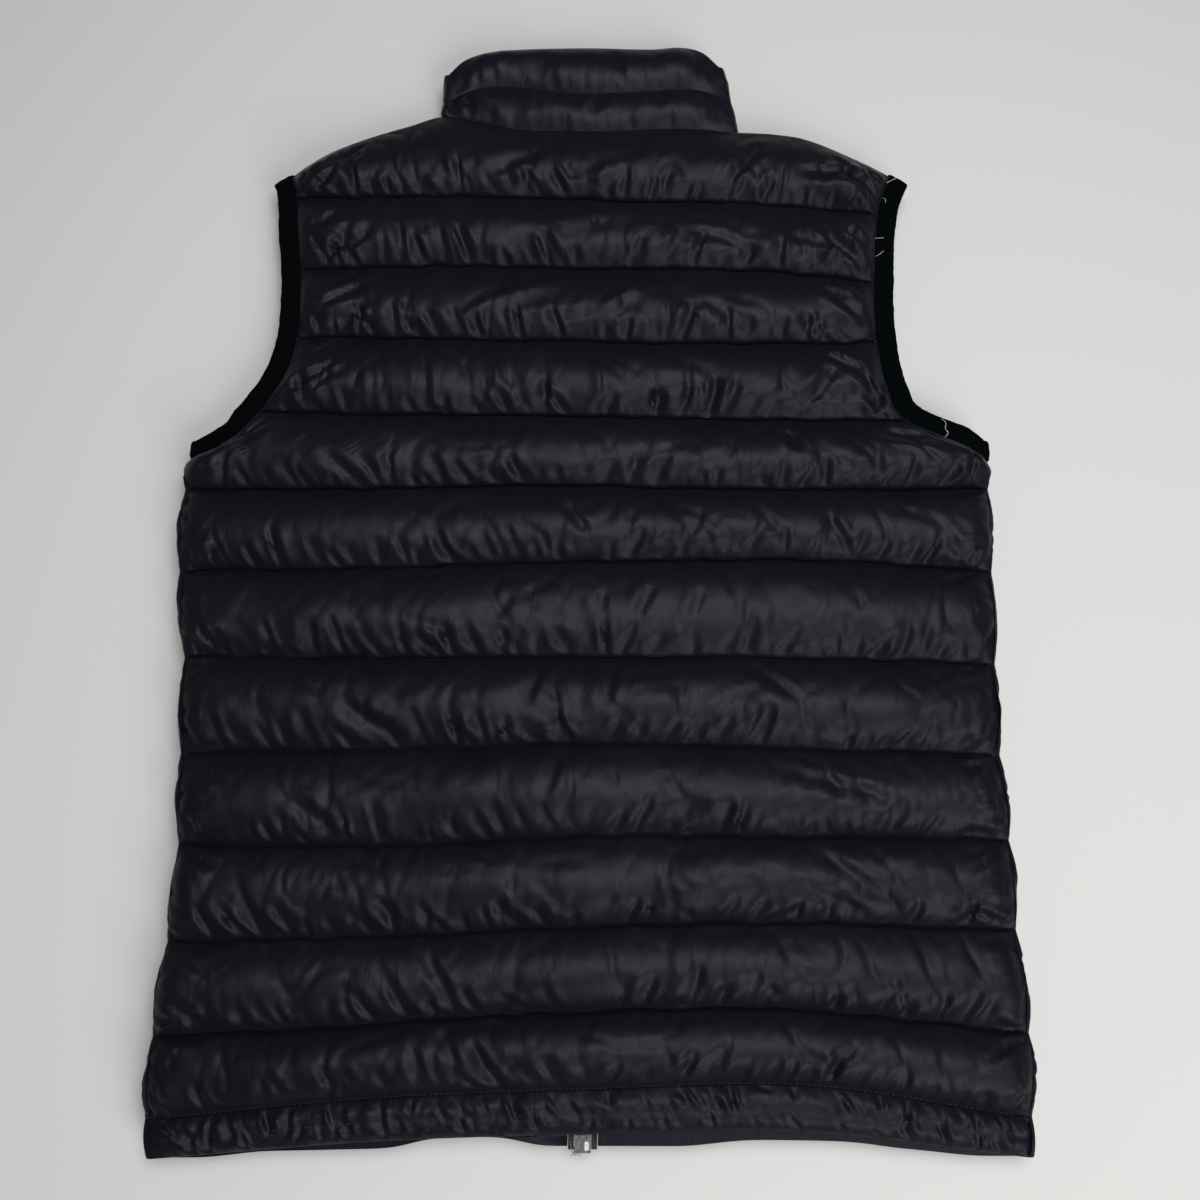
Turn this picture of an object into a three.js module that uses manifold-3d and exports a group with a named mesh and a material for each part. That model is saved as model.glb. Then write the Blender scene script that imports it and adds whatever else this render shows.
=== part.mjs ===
import * as THREE from "three";
import Module from "manifold-3d";
import { mergeVertices } from "three/addons/utils/BufferGeometryUtils.js";

// A quilted puffer vest, zipped up and laid face down: the back lies on the two fronts.
// Millimetres. +X is to the right across the back, +Y runs from the hem to the collar, +Z is up.
// Levels are heights above the plane where the back and the fronts touch.

const midLevel = 18; // height of that plane above the surface the vest lies on
const halfGap = 0.15; // half of the clearance between neighbouring pieces
const seamThickness = 3.4; // cloth and wadding sewn flat at a quilting seam
const backRise = 14.6; // rise of a back channel above its seams
const frontRise = 16.5; // the fronts' channels are pressed flat where they reach the surface
const hemRise = 5.2; // rise of the narrow hem tube
const hemBulge = 0.8; // how far a channel swells past its seams at the side of the vest
const sideBulge = 2.2;
const armholeRim = 22; // width over which a channel thins out toward an armhole
const sideRim = 15; // the same toward a side seam
const puffFlatness = 2.4; // exponent of the channel's rounded section

const sideSeamInset = 8; // the fronts wrap round the sides and meet the back this far in
const wrapStart = 15; // length over which the fronts' wrap grows below the armhole

const zipX = -1.5; // centre line of the front zip
const zipGap = 8.6; // from the zip's centre line to the edge of a front
const zipEdgeThickness = 6.4; // folded edge of a front beside the zip
const zipRim = 20;

const bindingWidth = 12.6;
const bindingThickness = 3.7;
const bindingSeat = 0.36; // clearance from the armhole's edge
const bindingFold = 0.21; // radius inside the binding's two turns
const bindingTurnRoom = 3.4; // the binding stops this far short of the side, and its turn fills the rest
const underarmBindingShare = 0.82; // it is narrower where it turns over at the underarm
const shoulderSlant = { across: 0.83, up: -0.56 }; // direction of the binding's end at the shoulder
const slantFade = 25;
const frontScoop = 12; // the front armhole is cut this much deeper than the back one

const collarHeight = 60; // at the front zip
const collarRise = 8.6;
const collarFoldRise = 5.2;
const frontNeckDrop = 54; // from the shoulder's neck point to the front neck seam
const gatherDepth = 2.3;
const gatherPitch = 2.6; // columns of the surface to one gather
const wornShare = 0.8; // folds and gathers never take more than this share of a channel's rise
const ridgeLimit = 2.5; // a ridge stands no higher than this above its channel
const hemWear = 0.33; // the hem's folds are this much shallower
const hemWrapShare = 0.62; // and it wraps round the side this much less

// Quilting seams from the top: height Y along the back at the left side, the quarters, the middle and the
// right side, and along the fronts at the zip. The last row is the hem's edge.
const seams = [
  { left: 239, leftQuarter: 241, middle: 238, rightQuarter: 236, right: 229, zip: 226 },
  { left: 188, leftQuarter: 191, middle: 189, rightQuarter: 188, right: 180, zip: 179 },
  { left: 141, leftQuarter: 140, middle: 138, rightQuarter: 136, right: 138, zip: 132 },
  { left: 91, leftQuarter: 88, middle: 87, rightQuarter: 85, right: 84, zip: 82 },
  { left: 39, leftQuarter: 39, middle: 41, rightQuarter: 38, right: 39, zip: 34 },
  { left: -14, leftQuarter: -12, middle: -8, rightQuarter: -7, right: -14, zip: -17 },
  { left: -68, leftQuarter: -69, middle: -68, rightQuarter: -69, right: -72, zip: -72 },
  { left: -126, leftQuarter: -124, middle: -121, rightQuarter: -124, right: -127, zip: -127 },
  { left: -179, leftQuarter: -180, middle: -175, rightQuarter: -175, right: -177, zip: -181 },
  { left: -235, leftQuarter: -232, middle: -226, rightQuarter: -224, right: -228, zip: -233 },
  { left: -287, leftQuarter: -280, middle: -273, rightQuarter: -273, right: -285, zip: -283 },
  { left: -331, leftQuarter: -320, middle: -315, rightQuarter: -313, right: -330, zip: -325 },
  { left: -352, leftQuarter: -343, middle: -339, rightQuarter: -338, right: -353.9, zip: -349 },
];

// Edge of the body at height y, left and right: the armholes down to the underarms, then the sides, where
// each row is the pinch at a quilting seam.
const outline = [
  { y: 256, left: -197, right: 202 },
  { y: 239, left: -193, right: 195 },
  { y: 215, left: -191, right: 190.5 },
  { y: 190, left: -188, right: 188.5 },
  { y: 165, left: -187, right: 187 },
  { y: 141, left: -188, right: 187.5 },
  { y: 117, left: -194, right: 190.5 },
  { y: 100, left: -203, right: 195 },
  { y: 90, left: -210, right: 199 },
  { y: 80, left: -218, right: 211 },
  { y: 72, left: -225, right: 229 },
  { y: 65, left: -237, right: 242 },
  { y: 56.5, left: -252.5, right: 253.4 },
  { y: 39, left: -253, right: 252.8 },
  { y: -14, left: -252.5, right: 251.4 },
  { y: -69, left: -245.5, right: 249.5 },
  { y: -126, left: -243.5, right: 248.5 },
  { y: -179, left: -241, right: 250.5 },
  { y: -232, left: -243, right: 251 },
  { y: -285, left: -247.5, right: 254 },
  { y: -330, left: -248.5, right: 252.5 },
  { y: -354, left: -246, right: 252 },
];

// Top edge of the back: the left shoulder, the neck seam and the right shoulder.
const neckLeft = -97;
const neckRight = 101;
const topEdge = [
  { x: -197, y: 256 },
  { x: -173, y: 273 },
  { x: -146, y: 285 },
  { x: -122, y: 293 },
  { x: -97, y: 301 },
  { x: -73, y: 296 },
  { x: -46, y: 290.5 },
  { x: 8, y: 289 },
  { x: 60, y: 291 },
  { x: 101, y: 289 },
  { x: 123, y: 288 },
  { x: 146, y: 284 },
  { x: 176, y: 270 },
  { x: 202, y: 256 },
];

// The collar's middle seam and top edge across the back, by share of its width from left to right.
const collarLines = [
  { share: 0, seamY: 312, topY: 333 },
  { share: 0.05, seamY: 318, topY: 343 },
  { share: 0.12, seamY: 323, topY: 349 },
  { share: 0.22, seamY: 324, topY: 352 },
  { share: 0.5, seamY: 319, topY: 353.6 },
  { share: 0.75, seamY: 321, topY: 352.6 },
  { share: 0.86, seamY: 322, topY: 354 },
  { share: 0.94, seamY: 319, topY: 350 },
  { share: 1, seamY: 314, topY: 339 },
];
const collarBottom = { left: -91, right: 95 };
const collarTop = { left: -91, right: 86 };

// A front's section where it wraps round the side: distance in from the silhouette, then the level at the
// crest of a channel and at a seam. The last row is the side seam with the back.
const wrapSection = [
  { inset: 9, crest: -15.5, seam: -3.4 },
  { inset: 2.2, crest: -8.5, seam: -2.8 },
  { inset: 0, crest: 0.5, seam: -0.2 },
  { inset: 2.6, crest: 6.5, seam: 2.4 },
  { inset: sideSeamInset - halfGap, crest: 5.6, seam: 3.4 },
];
// The same columns along an armhole, where the front ends at its binding.
const armholeSection = [
  { inset: 9 },
  { inset: 2.5 },
  { inset: 0.6, level: -3.2 },
  { inset: 0, level: -2 },
  { inset: -halfGap, level: -0.05 },
];

// The largest folds of the back, from start to end. Depth is of a trough, and below zero of a ridge.
const folds = [
  { startX: -2, startY: 282, endX: -71, endY: 249, width: 10, depth: 2.2 },
  { startX: 121, startY: 276, endX: 93, endY: 247, width: 9, depth: 2.8 },
  { startX: 167, startY: 259, endX: 195, endY: 234, width: 9, depth: 2 },
  { startX: -138, startY: 214, endX: -157, endY: 198, width: 10, depth: 2.6 },
  { startX: -37, startY: 211, endX: 35, endY: 225, width: 10, depth: -2 },
  { startX: 61, startY: 212, endX: 112, endY: 195, width: 10, depth: 2.4 },
  { startX: -94, startY: 142, endX: -17, endY: 177, width: 10, depth: -2.4 },
  { startX: 8, startY: 156, endX: 34, endY: 174, width: 9, depth: -2 },
  { startX: 149, startY: 149, endX: 181, endY: 132, width: 9, depth: 3 },
  { startX: -103, startY: 125, endX: -100, endY: 92, width: 9, depth: 2 },
  { startX: 161, startY: 119, endX: 134, endY: 85, width: 9, depth: 2.6 },
  { startX: -164, startY: 62, endX: -141, endY: 41, width: 10, depth: 2.8 },
  { startX: 125, startY: 78, endX: 135, endY: 62, width: 9, depth: 3 },
  { startX: 148, startY: 22, endX: 165, endY: -9, width: 10, depth: 2.8 },
  { startX: -13, startY: 29, endX: 2, endY: 7, width: 9, depth: 2 },
  { startX: 42, startY: -25, endX: 31, endY: -45, width: 9, depth: 2 },
  { startX: -147, startY: -95, endX: -116, endY: -116, width: 12, depth: 3.6 },
  { startX: 99, startY: -71, endX: 128, endY: -95, width: 9, depth: 2 },
  { startX: -168, startY: -154, endX: -143, endY: -177, width: 11, depth: 3.2 },
  { startX: 109, startY: -134, endX: 185, endY: -154, width: 10, depth: 2.2 },
  { startX: -121, startY: -211, endX: -107, endY: -222, width: 10, depth: 3.6 },
  { startX: 137, startY: -183, endX: 179, endY: -214, width: 10, depth: 2.4 },
  { startX: -92, startY: -239, endX: -74, endY: -266, width: 9, depth: 2.4 },
  { startX: -236, startY: -266, endX: -212, endY: -282, width: 10, depth: 3 },
  { startX: -65, startY: -287, endX: -47, endY: -314, width: 10, depth: 3.6 },
  { startX: 155, startY: -287, endX: 131, endY: -311, width: 10, depth: 3 },
];

const channelSteps = [0, 0.1, 0.34, 0.66, 0.9]; // where a channel's section has its points
const underarmChannel = 4; // the channel in which the armholes end
const underarmStep = 0.64;
const underarmSteps = [0, 0.12, 0.36, underarmStep, 0.9];
const hemSteps = [0, 0.14, 0.5, 0.86];
const channelCount = 12;

const shellCloth = { color: 0x15171c, roughness: 0.42, metalness: 0 };
const bindingKnit = { color: 0x0d0f0e, roughness: 0.95, metalness: 0 };
const zipCloth = { color: 0x101113, roughness: 0.85, metalness: 0 };
const zipMetal = { color: 0x85878a, roughness: 0.35, metalness: 1 };

const { lerp, clamp, smoothstep } = THREE.MathUtils;

// Smooth curve through a table's rows, read at one column and given in another.
function readTable(rows, from, to, at) {
  const turn = Math.sign(rows.at(-1)[from] - rows[0][from]);
  let i = rows.findIndex((row) => (row[from] - at) * turn >= 0);
  if (i === 0) return rows[0][to];
  if (i < 0) return rows.at(-1)[to];
  i -= 1;
  const slope = (k) => {
    const a = rows[Math.max(k - 1, 0)];
    const b = rows[Math.min(k + 1, rows.length - 1)];
    return (b[to] - a[to]) / (b[from] - a[from]);
  };
  const [low, high] = [rows[i], rows[i + 1]];
  const span = high[from] - low[from];
  const t = (at - low[from]) / span;
  const ease = t * t * (3 - 2 * t);
  const tangents = slope(i) * (t - 2 * t * t + t ** 3) + slope(i + 1) * (t ** 3 - t * t);
  return lerp(low[to], high[to], ease) + span * tangents;
}

const puff = (t) => Math.sqrt(1 - Math.abs(2 * t - 1) ** puffFlatness);
const rim = (distance, reach) => Math.sqrt(1 - (1 - clamp(distance / reach, 0, 1)) ** 2);

// Rows of a panel: the channel, the place t across it, and the heights Y at its ends and at the zip.
function rowAt(channel, t) {
  const top = channel > 0 ? seams[channel - 1] : { ...seams[0], left: outline[0].y, right: outline[0].y };
  const low = seams[channel];
  const onArmhole = channel + t <= underarmChannel + underarmStep;
  const heights = ["left", "right", "zip"].map((place) => [place, lerp(top[place], low[place], t)]);
  return { channel, t, onArmhole, ...Object.fromEntries(heights) };
}

function rowsOf(first, last, steps) {
  const rows = [];
  for (let channel = first; channel <= last; channel++) {
    const at = channel === underarmChannel ? underarmSteps : steps;
    at.forEach((t) => rows.push(rowAt(channel, t)));
  }
  rows.push(rowAt(last, 1));
  return rows;
}

const bodyRows = rowsOf(0, channelCount - 1, channelSteps);
const hemRows = rowsOf(channelCount, channelCount, hemSteps);
const armholeRows = bodyRows.filter((row) => row.onArmhole);
const underarm = armholeRows.at(-1);

// The armhole's or side's edge on a row, with the channel's swelling at the side.
function edgeOf(row, side) {
  const y = row[side];
  const out = side === "left" ? -1 : 1;
  const swell = row.channel < channelCount ? sideBulge : hemBulge;
  const below = row.onArmhole ? 0 : swell * Math.sin(Math.PI * row.t);
  return { x: readTable(outline, "y", side, y) + out * below, y, out };
}

// How much of the front armhole's extra depth applies at height y.
function scoopShare(row, side) {
  const down = (armholeRows[0][side] - row[side]) / (armholeRows[0][side] - underarm[side]);
  return Math.sin(Math.PI * clamp(down, 0, 1));
}

// How far a front has begun to wrap round the side, from the underarm down.
const wrapShare = (row, side) => smoothstep(underarm[side] - row[side], 0, wrapStart);

// Height Y of the back's seam, by share u of the width from left to right.
function seamY(index, u) {
  const seam = seams[index];
  const points = [
    { u: 0, y: seam.left },
    { u: 0.25, y: seam.leftQuarter },
    { u: 0.5, y: seam.middle },
    { u: 0.75, y: seam.rightQuarter },
    { u: 1, y: seam.right },
  ];
  return readTable(points, "u", "y", u);
}

// Columns of the back, as places X along its top edge: closer together at the armholes.
const shoulderShares = [0, 0.03, 0.1, 0.2, 0.34, 0.5, 0.67, 0.84];
const neckColumns = 16;
const shoulderLeft = topEdge[0].x;
const shoulderRight = topEdge.at(-1).x;
const backColumns = [
  ...shoulderShares.map((share) => lerp(shoulderLeft, neckLeft, share)),
  ...Array.from({ length: neckColumns + 1 }, (_, k) => lerp(neckLeft, neckRight, k / neckColumns)),
  ...shoulderShares.toReversed().map((share) => lerp(shoulderRight, neckRight, share)),
];

// Lowering of the cloth by the largest folds and by the gathers along the quilting seams.
function foldDepth(x, y) {
  return folds.reduce((sum, fold) => {
    const along = { x: fold.endX - fold.startX, y: fold.endY - fold.startY };
    const length = Math.hypot(along.x, along.y);
    const s = ((x - fold.startX) * along.x + (y - fold.startY) * along.y) / length ** 2;
    const nearest = clamp(s, 0, 1);
    const away = Math.hypot(x - fold.startX - nearest * along.x, y - fold.startY - nearest * along.y);
    return sum + fold.depth * Math.exp(-((away / fold.width) ** 2));
  }, 0);
}

function gatherDent(channel, t, column) {
  const seam = t < 0.5 ? channel : channel + 1;
  const near = 1 - Math.min(t, 1 - t) * 2;
  const turns = (2 * Math.PI * column) / gatherPitch;
  const wave = Math.sin(turns + 1.7 * seam + Math.sin(0.9 * column + 2.3 * seam));
  return gatherDepth * near * Math.max(0, wave) * puff(t);
}

// Outer points of the back, row by row, as [x, y, level].
function backSurface(rows, rise) {
  return rows.map((row, r) => {
    const left = edgeOf(row, "left");
    const right = edgeOf(row, "right");
    const endGap = r === 0 ? -halfGap : r === rows.length - 1 ? halfGap : 0;
    return backColumns.map((topX, column) => {
      const u = (topX - shoulderLeft) / (shoulderRight - shoulderLeft);
      const leftX = left.x + sideSeamInset * wrapShare(row, "left") + halfGap;
      const rightX = right.x - sideSeamInset * wrapShare(row, "right") - halfGap;
      const x = lerp(leftX, rightX, u);
      const upperY = row.channel > 0 ? seamY(row.channel - 1, u) : readTable(topEdge, "x", "y", topX);
      const y = lerp(upperY, seamY(row.channel, u), row.t) + endGap;
      const reach = row.onArmhole ? armholeRim : sideRim;
      const away = Math.min(x - leftX, rightX - x);
      const full = rise * puff(row.t) * rim(away, reach);
      const worn = Math.min(full * wornShare, foldDepth(x, y) + gatherDent(row.channel, row.t, column));
      const lowered = row.channel < channelCount ? Math.max(worn, -ridgeLimit) : worn * hemWear;
      return [x, y, seamThickness + full - lowered];
    });
  });
}

// The front neck seam: an ellipse from the shoulder's neck point down to the zip.
const neckPoints = {
  left: { x: neckLeft, y: readTable(topEdge, "x", "y", neckLeft) },
  right: { x: neckRight, y: readTable(topEdge, "x", "y", neckRight) },
};
const neckTurns = [0, 15, 30, 45, 60, 75, 90].map(THREE.MathUtils.degToRad);
function frontNeck(side, turn) {
  const top = neckPoints[side];
  const out = side === "left" ? -1 : 1;
  const zipEdge = zipX + out * zipGap;
  const bottom = neckPoints.left.y - frontNeckDrop;
  const reach = top.x - zipEdge;
  return { x: zipEdge + reach * Math.sin(turn), y: top.y - (top.y - bottom) * Math.cos(turn) };
}

// Columns of a front from the zip outward, as shares of the width up to where it starts to wrap.
const frontShares = [0, 0.025, 0.1, 0.23, 0.37, 0.5, 0.63, 0.76, 0.89, 1];
const wrapInset = 15;
const shoulderPlaces = [0.33, 0.67, 1]; // places of the last columns along the shoulder

// Outer points of a front, row by row from the zip outward. They face down.
function frontSurface(rows, rise, side) {
  return rows.map((row, r) => {
    const edge = edgeOf(row, side);
    const inward = -edge.out;
    const edgeX = edge.x + inward * frontScoop * scoopShare(row, side);
    const zipEdge = zipX + edge.out * zipGap;
    const endGap = r === 0 ? -halfGap : r === rows.length - 1 ? halfGap : 0;
    const wrap = wrapShare(row, side);
    const lastX = edgeX + inward * wrapInset;
    const shoulder = (share) => {
      const x = lerp(neckPoints[side].x, lastX, share);
      return { x, y: readTable(topEdge, "x", "y", x) };
    };
    const tops = [...neckTurns.map((turn) => frontNeck(side, turn)), ...shoulderPlaces.map(shoulder)];
    const inner = frontShares.map((share, c) => {
      let x = lerp(zipEdge, lastX, share);
      const across = (1 + Math.cos(Math.PI * share)) / 2;
      let y = lerp(row[side], row.zip, across);
      if (row.channel === 0) {
        x = lerp(tops[c].x, x, row.t);
        const seam = seams[0];
        y = lerp(tops[c].y, lerp(seam[side], seam.zip, across), row.t);
      }
      const away = Math.abs(edgeX - x);
      const reach = row.onArmhole ? armholeRim : sideRim + wrapInset;
      const full = rise * puff(row.t) * rim(away, reach) * rim(Math.abs(x - zipEdge), zipRim);
      const level = c === 0 ? -zipEdgeThickness : -Math.min(midLevel, seamThickness + full);
      return [x, y + endGap, level];
    });
    const outer = wrapSection.map((section, k) => {
      const open = armholeSection[k];
      const rimmed = -Math.min(midLevel, seamThickness + rise * puff(row.t) * rim(open.inset, armholeRim));
      const scale = row.channel < channelCount ? 1 : hemWrapShare;
      const wrapped = lerp(section.seam, section.crest * scale, puff(row.t));
      const x = edgeX + inward * lerp(open.inset, section.inset, wrap);
      const y = row.channel === 0 ? lerp(readTable(topEdge, "x", "y", x), row[side], row.t) : row[side];
      return [x, y + endGap, lerp(open.level ?? rimmed, wrapped, wrap)];
    });
    return [...inner, ...outer];
  });
}

// Triangles over a flat ring of points, always cutting the best-shaped ear first.
function fillRing(ring) {
  const doubled = (a, b, c) => (b[0] - a[0]) * (c[1] - a[1]) - (c[0] - a[0]) * (b[1] - a[1]);
  const area = ring.reduce((sum, p, i) => sum + doubled([0, 0], p, ring[(i + 1) % ring.length]), 0);
  const turn = Math.sign(area);
  const shape = (a, b, c) => {
    const sides = [[a, b], [b, c], [c, a]].map(([p, q]) => Math.hypot(p[0] - q[0], p[1] - q[1]));
    return (turn * doubled(a, b, c)) / Math.max(...sides) ** 2;
  };
  const holds = (p, a, b, c) => [[a, b], [b, c], [c, a]].every(([s, e]) => turn * doubled(s, e, p) > -1e-7);
  const left = ring.map((_, i) => i);
  const triangles = [];
  while (left.length > 3) {
    let best = -1;
    let bestShape = 0;
    left.forEach((middle, k) => {
      const before = left.at(k - 1);
      const after = left[(k + 1) % left.length];
      const ear = [ring[before], ring[middle], ring[after]];
      const value = shape(...ear);
      if (value <= bestShape) return;
      const others = left.filter((i) => i !== before && i !== middle && i !== after);
      if (others.some((i) => holds(ring[i], ...ear))) return;
      best = k;
      bestShape = value;
    });
    triangles.push([left.at(best - 1), left[best], left[(best + 1) % left.length]]);
    left.splice(best, 1);
  }
  return [...triangles, left];
}

// A closed mesh from points and triangles, turned to face out.
function closedGeometry(points, triangles) {
  const at = points.map((p) => new THREE.Vector3(...p));
  const volume = triangles.reduce((sum, [a, b, c]) => sum + at[a].dot(at[b].clone().cross(at[c])), 0);
  const facing = volume < 0 ? triangles.map(([a, b, c]) => [a, c, b]) : triangles;
  const geometry = new THREE.BufferGeometry().setFromPoints(at);
  geometry.setIndex(facing.flat());
  geometry.computeVertexNormals();
  return geometry;
}

// A panel's wall between its quilted outer points and its plain inner face, which is flat at innerLevel.
// edgeColumns are the columns that the inner face follows along the first and the last row.
function panelGeometry(outer, innerLevel, edgeColumns) {
  const points = [];
  const triangles = [];
  const add = (point) => points.push(point) - 1;
  const grid = outer.map((row) => row.map(add));
  const lastRow = outer.length - 1;
  const lastColumn = outer[0].length - 1;
  const inner = new Map();
  const innerOf = (r, c) => {
    const key = `${r} ${c}`;
    if (!inner.has(key)) inner.set(key, add([outer[r][c][0], outer[r][c][1], innerLevel]));
    return inner.get(key);
  };
  for (let r = 0; r < lastRow; r++) {
    for (let c = 0; c < lastColumn; c++) {
      const [a, b, d, e] = [grid[r][c], grid[r + 1][c], grid[r + 1][c + 1], grid[r][c + 1]];
      if ((r + c) % 2) triangles.push([a, b, d], [a, d, e]);
      else triangles.push([a, b, e], [b, d, e]);
    }
    const [firstLow, firstHigh] = [innerOf(r + 1, 0), innerOf(r, 0)];
    triangles.push([grid[r + 1][0], grid[r][0], firstHigh], [grid[r + 1][0], firstHigh, firstLow]);
    const [lastLow, lastHigh] = [innerOf(r + 1, lastColumn), innerOf(r, lastColumn)];
    triangles.push([grid[r][lastColumn], grid[r + 1][lastColumn], lastLow]);
    triangles.push([grid[r][lastColumn], lastLow, lastHigh]);
  }
  edgeColumns.slice(1).forEach((c, k) => {
    const before = edgeColumns[k];
    for (const r of [0, lastRow]) {
      const face = [[innerOf(r, c), innerOf(r, before), grid[r][before]]];
      for (let j = before; j < c; j++) face.push([innerOf(r, c), grid[r][j], grid[r][j + 1]]);
      triangles.push(...(r === 0 ? face : face.map(([p, q, s]) => [p, s, q])));
    }
  });
  const rowIndices = outer.map((_, r) => r);
  const ring = [
    ...edgeColumns.map((c) => innerOf(0, c)),
    ...rowIndices.slice(1, -1).map((r) => innerOf(r, lastColumn)),
    ...edgeColumns.toReversed().map((c) => innerOf(lastRow, c)),
    ...rowIndices.slice(1, -1).toReversed().map((r) => innerOf(r, 0)),
  ];
  const filled = fillRing(ring.map((i) => points[i]));
  triangles.push(...filled.map((triangle) => triangle.map((k) => ring[k])));
  return closedGeometry(points, triangles);
}

// A solid through sections of equally many points, closed on itself or with a flat cap at each end.
function sweptGeometry(sections, isLoop) {
  const count = sections[0].length;
  const points = sections.flat();
  const triangles = [];
  const spans = isLoop ? sections.length : sections.length - 1;
  for (let s = 0; s < spans; s++) {
    const next = (s + 1) % sections.length;
    for (let k = 0; k < count; k++) {
      const [a, b] = [s * count + k, s * count + ((k + 1) % count)];
      const [c, d] = [next * count + k, next * count + ((k + 1) % count)];
      triangles.push([a, b, d], [a, d, c]);
    }
  }
  if (!isLoop) {
    const last = (sections.length - 1) * count;
    for (let k = 1; k < count - 1; k++) triangles.push([0, k + 1, k], [last, last + k, last + k + 1]);
  }
  return closedGeometry(points, triangles);
}

const frontCollarSeam = 0.52; // place of the collar's middle seam across its front ends

// The collar: one strip of two channels from the zip round the neck and back to the zip, folded flat at both
// sides. A station holds the strip's three lines in plan and its turn about the fold.
function collarStations() {
  const stations = [];
  const foldOf = (side) => {
    const share = side === "left" ? 0 : 1;
    const bottomX = collarBottom[side];
    return {
      bottom: [bottomX, readTable(topEdge, "x", "y", neckPoints[side].x) + 2 * halfGap],
      seam: [lerp(collarBottom[side], collarTop[side], 0.5), readTable(collarLines, "share", "seamY", share)],
      top: [collarTop[side], readTable(collarLines, "share", "topY", share)],
    };
  };
  const front = (side) => {
    const fold = foldOf(side);
    return neckTurns.slice(0, -1).map((turn) => {
      const neck = frontNeck(side, turn);
      const out = side === "left" ? -1 : 1;
      const normal = new THREE.Vector2(-out * Math.sin(turn), Math.cos(turn)).multiplyScalar(3 * halfGap);
      const share = turn / (Math.PI / 2);
      const topX = lerp(zipX + out * zipGap, fold.top[0], share);
      const centreTop = neckPoints.left.y - frontNeckDrop + collarHeight;
      const topY = lerp(centreTop, fold.top[1], smoothstep(share, 0, 1));
      const bottomX = turn === 0 ? neck.x : neck.x + normal.x;
      const bottom = [bottomX, neck.y + normal.y];
      const seam = [lerp(bottom[0], topX, 0.5), lerp(bottom[1], topY, frontCollarSeam)];
      return { bottom, seam, top: [topX, topY], turn: Math.PI, out, isEnd: turn === 0 };
    });
  };
  const foldTurns = [180, 144, 108, 72, 36, 0].map(THREE.MathUtils.degToRad);
  const fold = (side) => {
    const out = side === "left" ? -1 : 1;
    return foldTurns.map((turn) => ({ ...foldOf(side), turn, out, isFold: true }));
  };
  stations.push(...front("left"), ...fold("left"));
  for (let k = 1; k < neckColumns; k++) {
    const share = k / neckColumns;
    const bottomX = lerp(neckLeft, neckRight, share);
    const [leftX, rightX] = ["left", "right"].map((side) => (collarBottom[side] + collarTop[side]) / 2);
    const seamX = lerp(leftX, rightX, share);
    stations.push({
      bottom: [bottomX, readTable(topEdge, "x", "y", bottomX) + 2 * halfGap],
      seam: [seamX, readTable(collarLines, "share", "seamY", share)],
      top: [lerp(collarTop.left, collarTop.right, share), readTable(collarLines, "share", "topY", share)],
      turn: 0,
      out: 1,
    });
  }
  stations.push(...fold("right").toReversed(), ...front("right").toReversed());
  return stations;
}

const collarSteps = [0, 0.14, 0.5, 0.86, 1, 1.14, 1.5, 1.86, 2];
const collarGather = { depth: 0.9, perStation: 2.4, perStep: 3 };
function collarSection(station, index) {
  const { bottom, seam, top, turn, out, isFold, isEnd } = station;
  const rise = isFold ? collarFoldRise : collarRise;
  const place = (q) => {
    const [from, to, t] = q < 1 ? [bottom, seam, q] : [seam, top, q - 1];
    return [lerp(from[0], to[0], t), lerp(from[1], to[1], t)];
  };
  const at = ([x, y], thickness) => {
    const radius = halfGap + thickness;
    return [x + out * radius * Math.sin(turn), y, radius * Math.cos(turn)];
  };
  const outer = collarSteps.map((q) => {
    const wave = Math.sin(collarGather.perStation * index + collarGather.perStep * q);
    const gather = isFold ? 0 : collarGather.depth * Math.max(0, wave);
    const thickness = seamThickness + (rise - gather) * puff(q === 2 ? 1 : q % 1);
    return at(place(q), isEnd ? zipEdgeThickness - halfGap : thickness);
  });
  return [...outer, at(top, 0), at(bottom, 0)];
}

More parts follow.
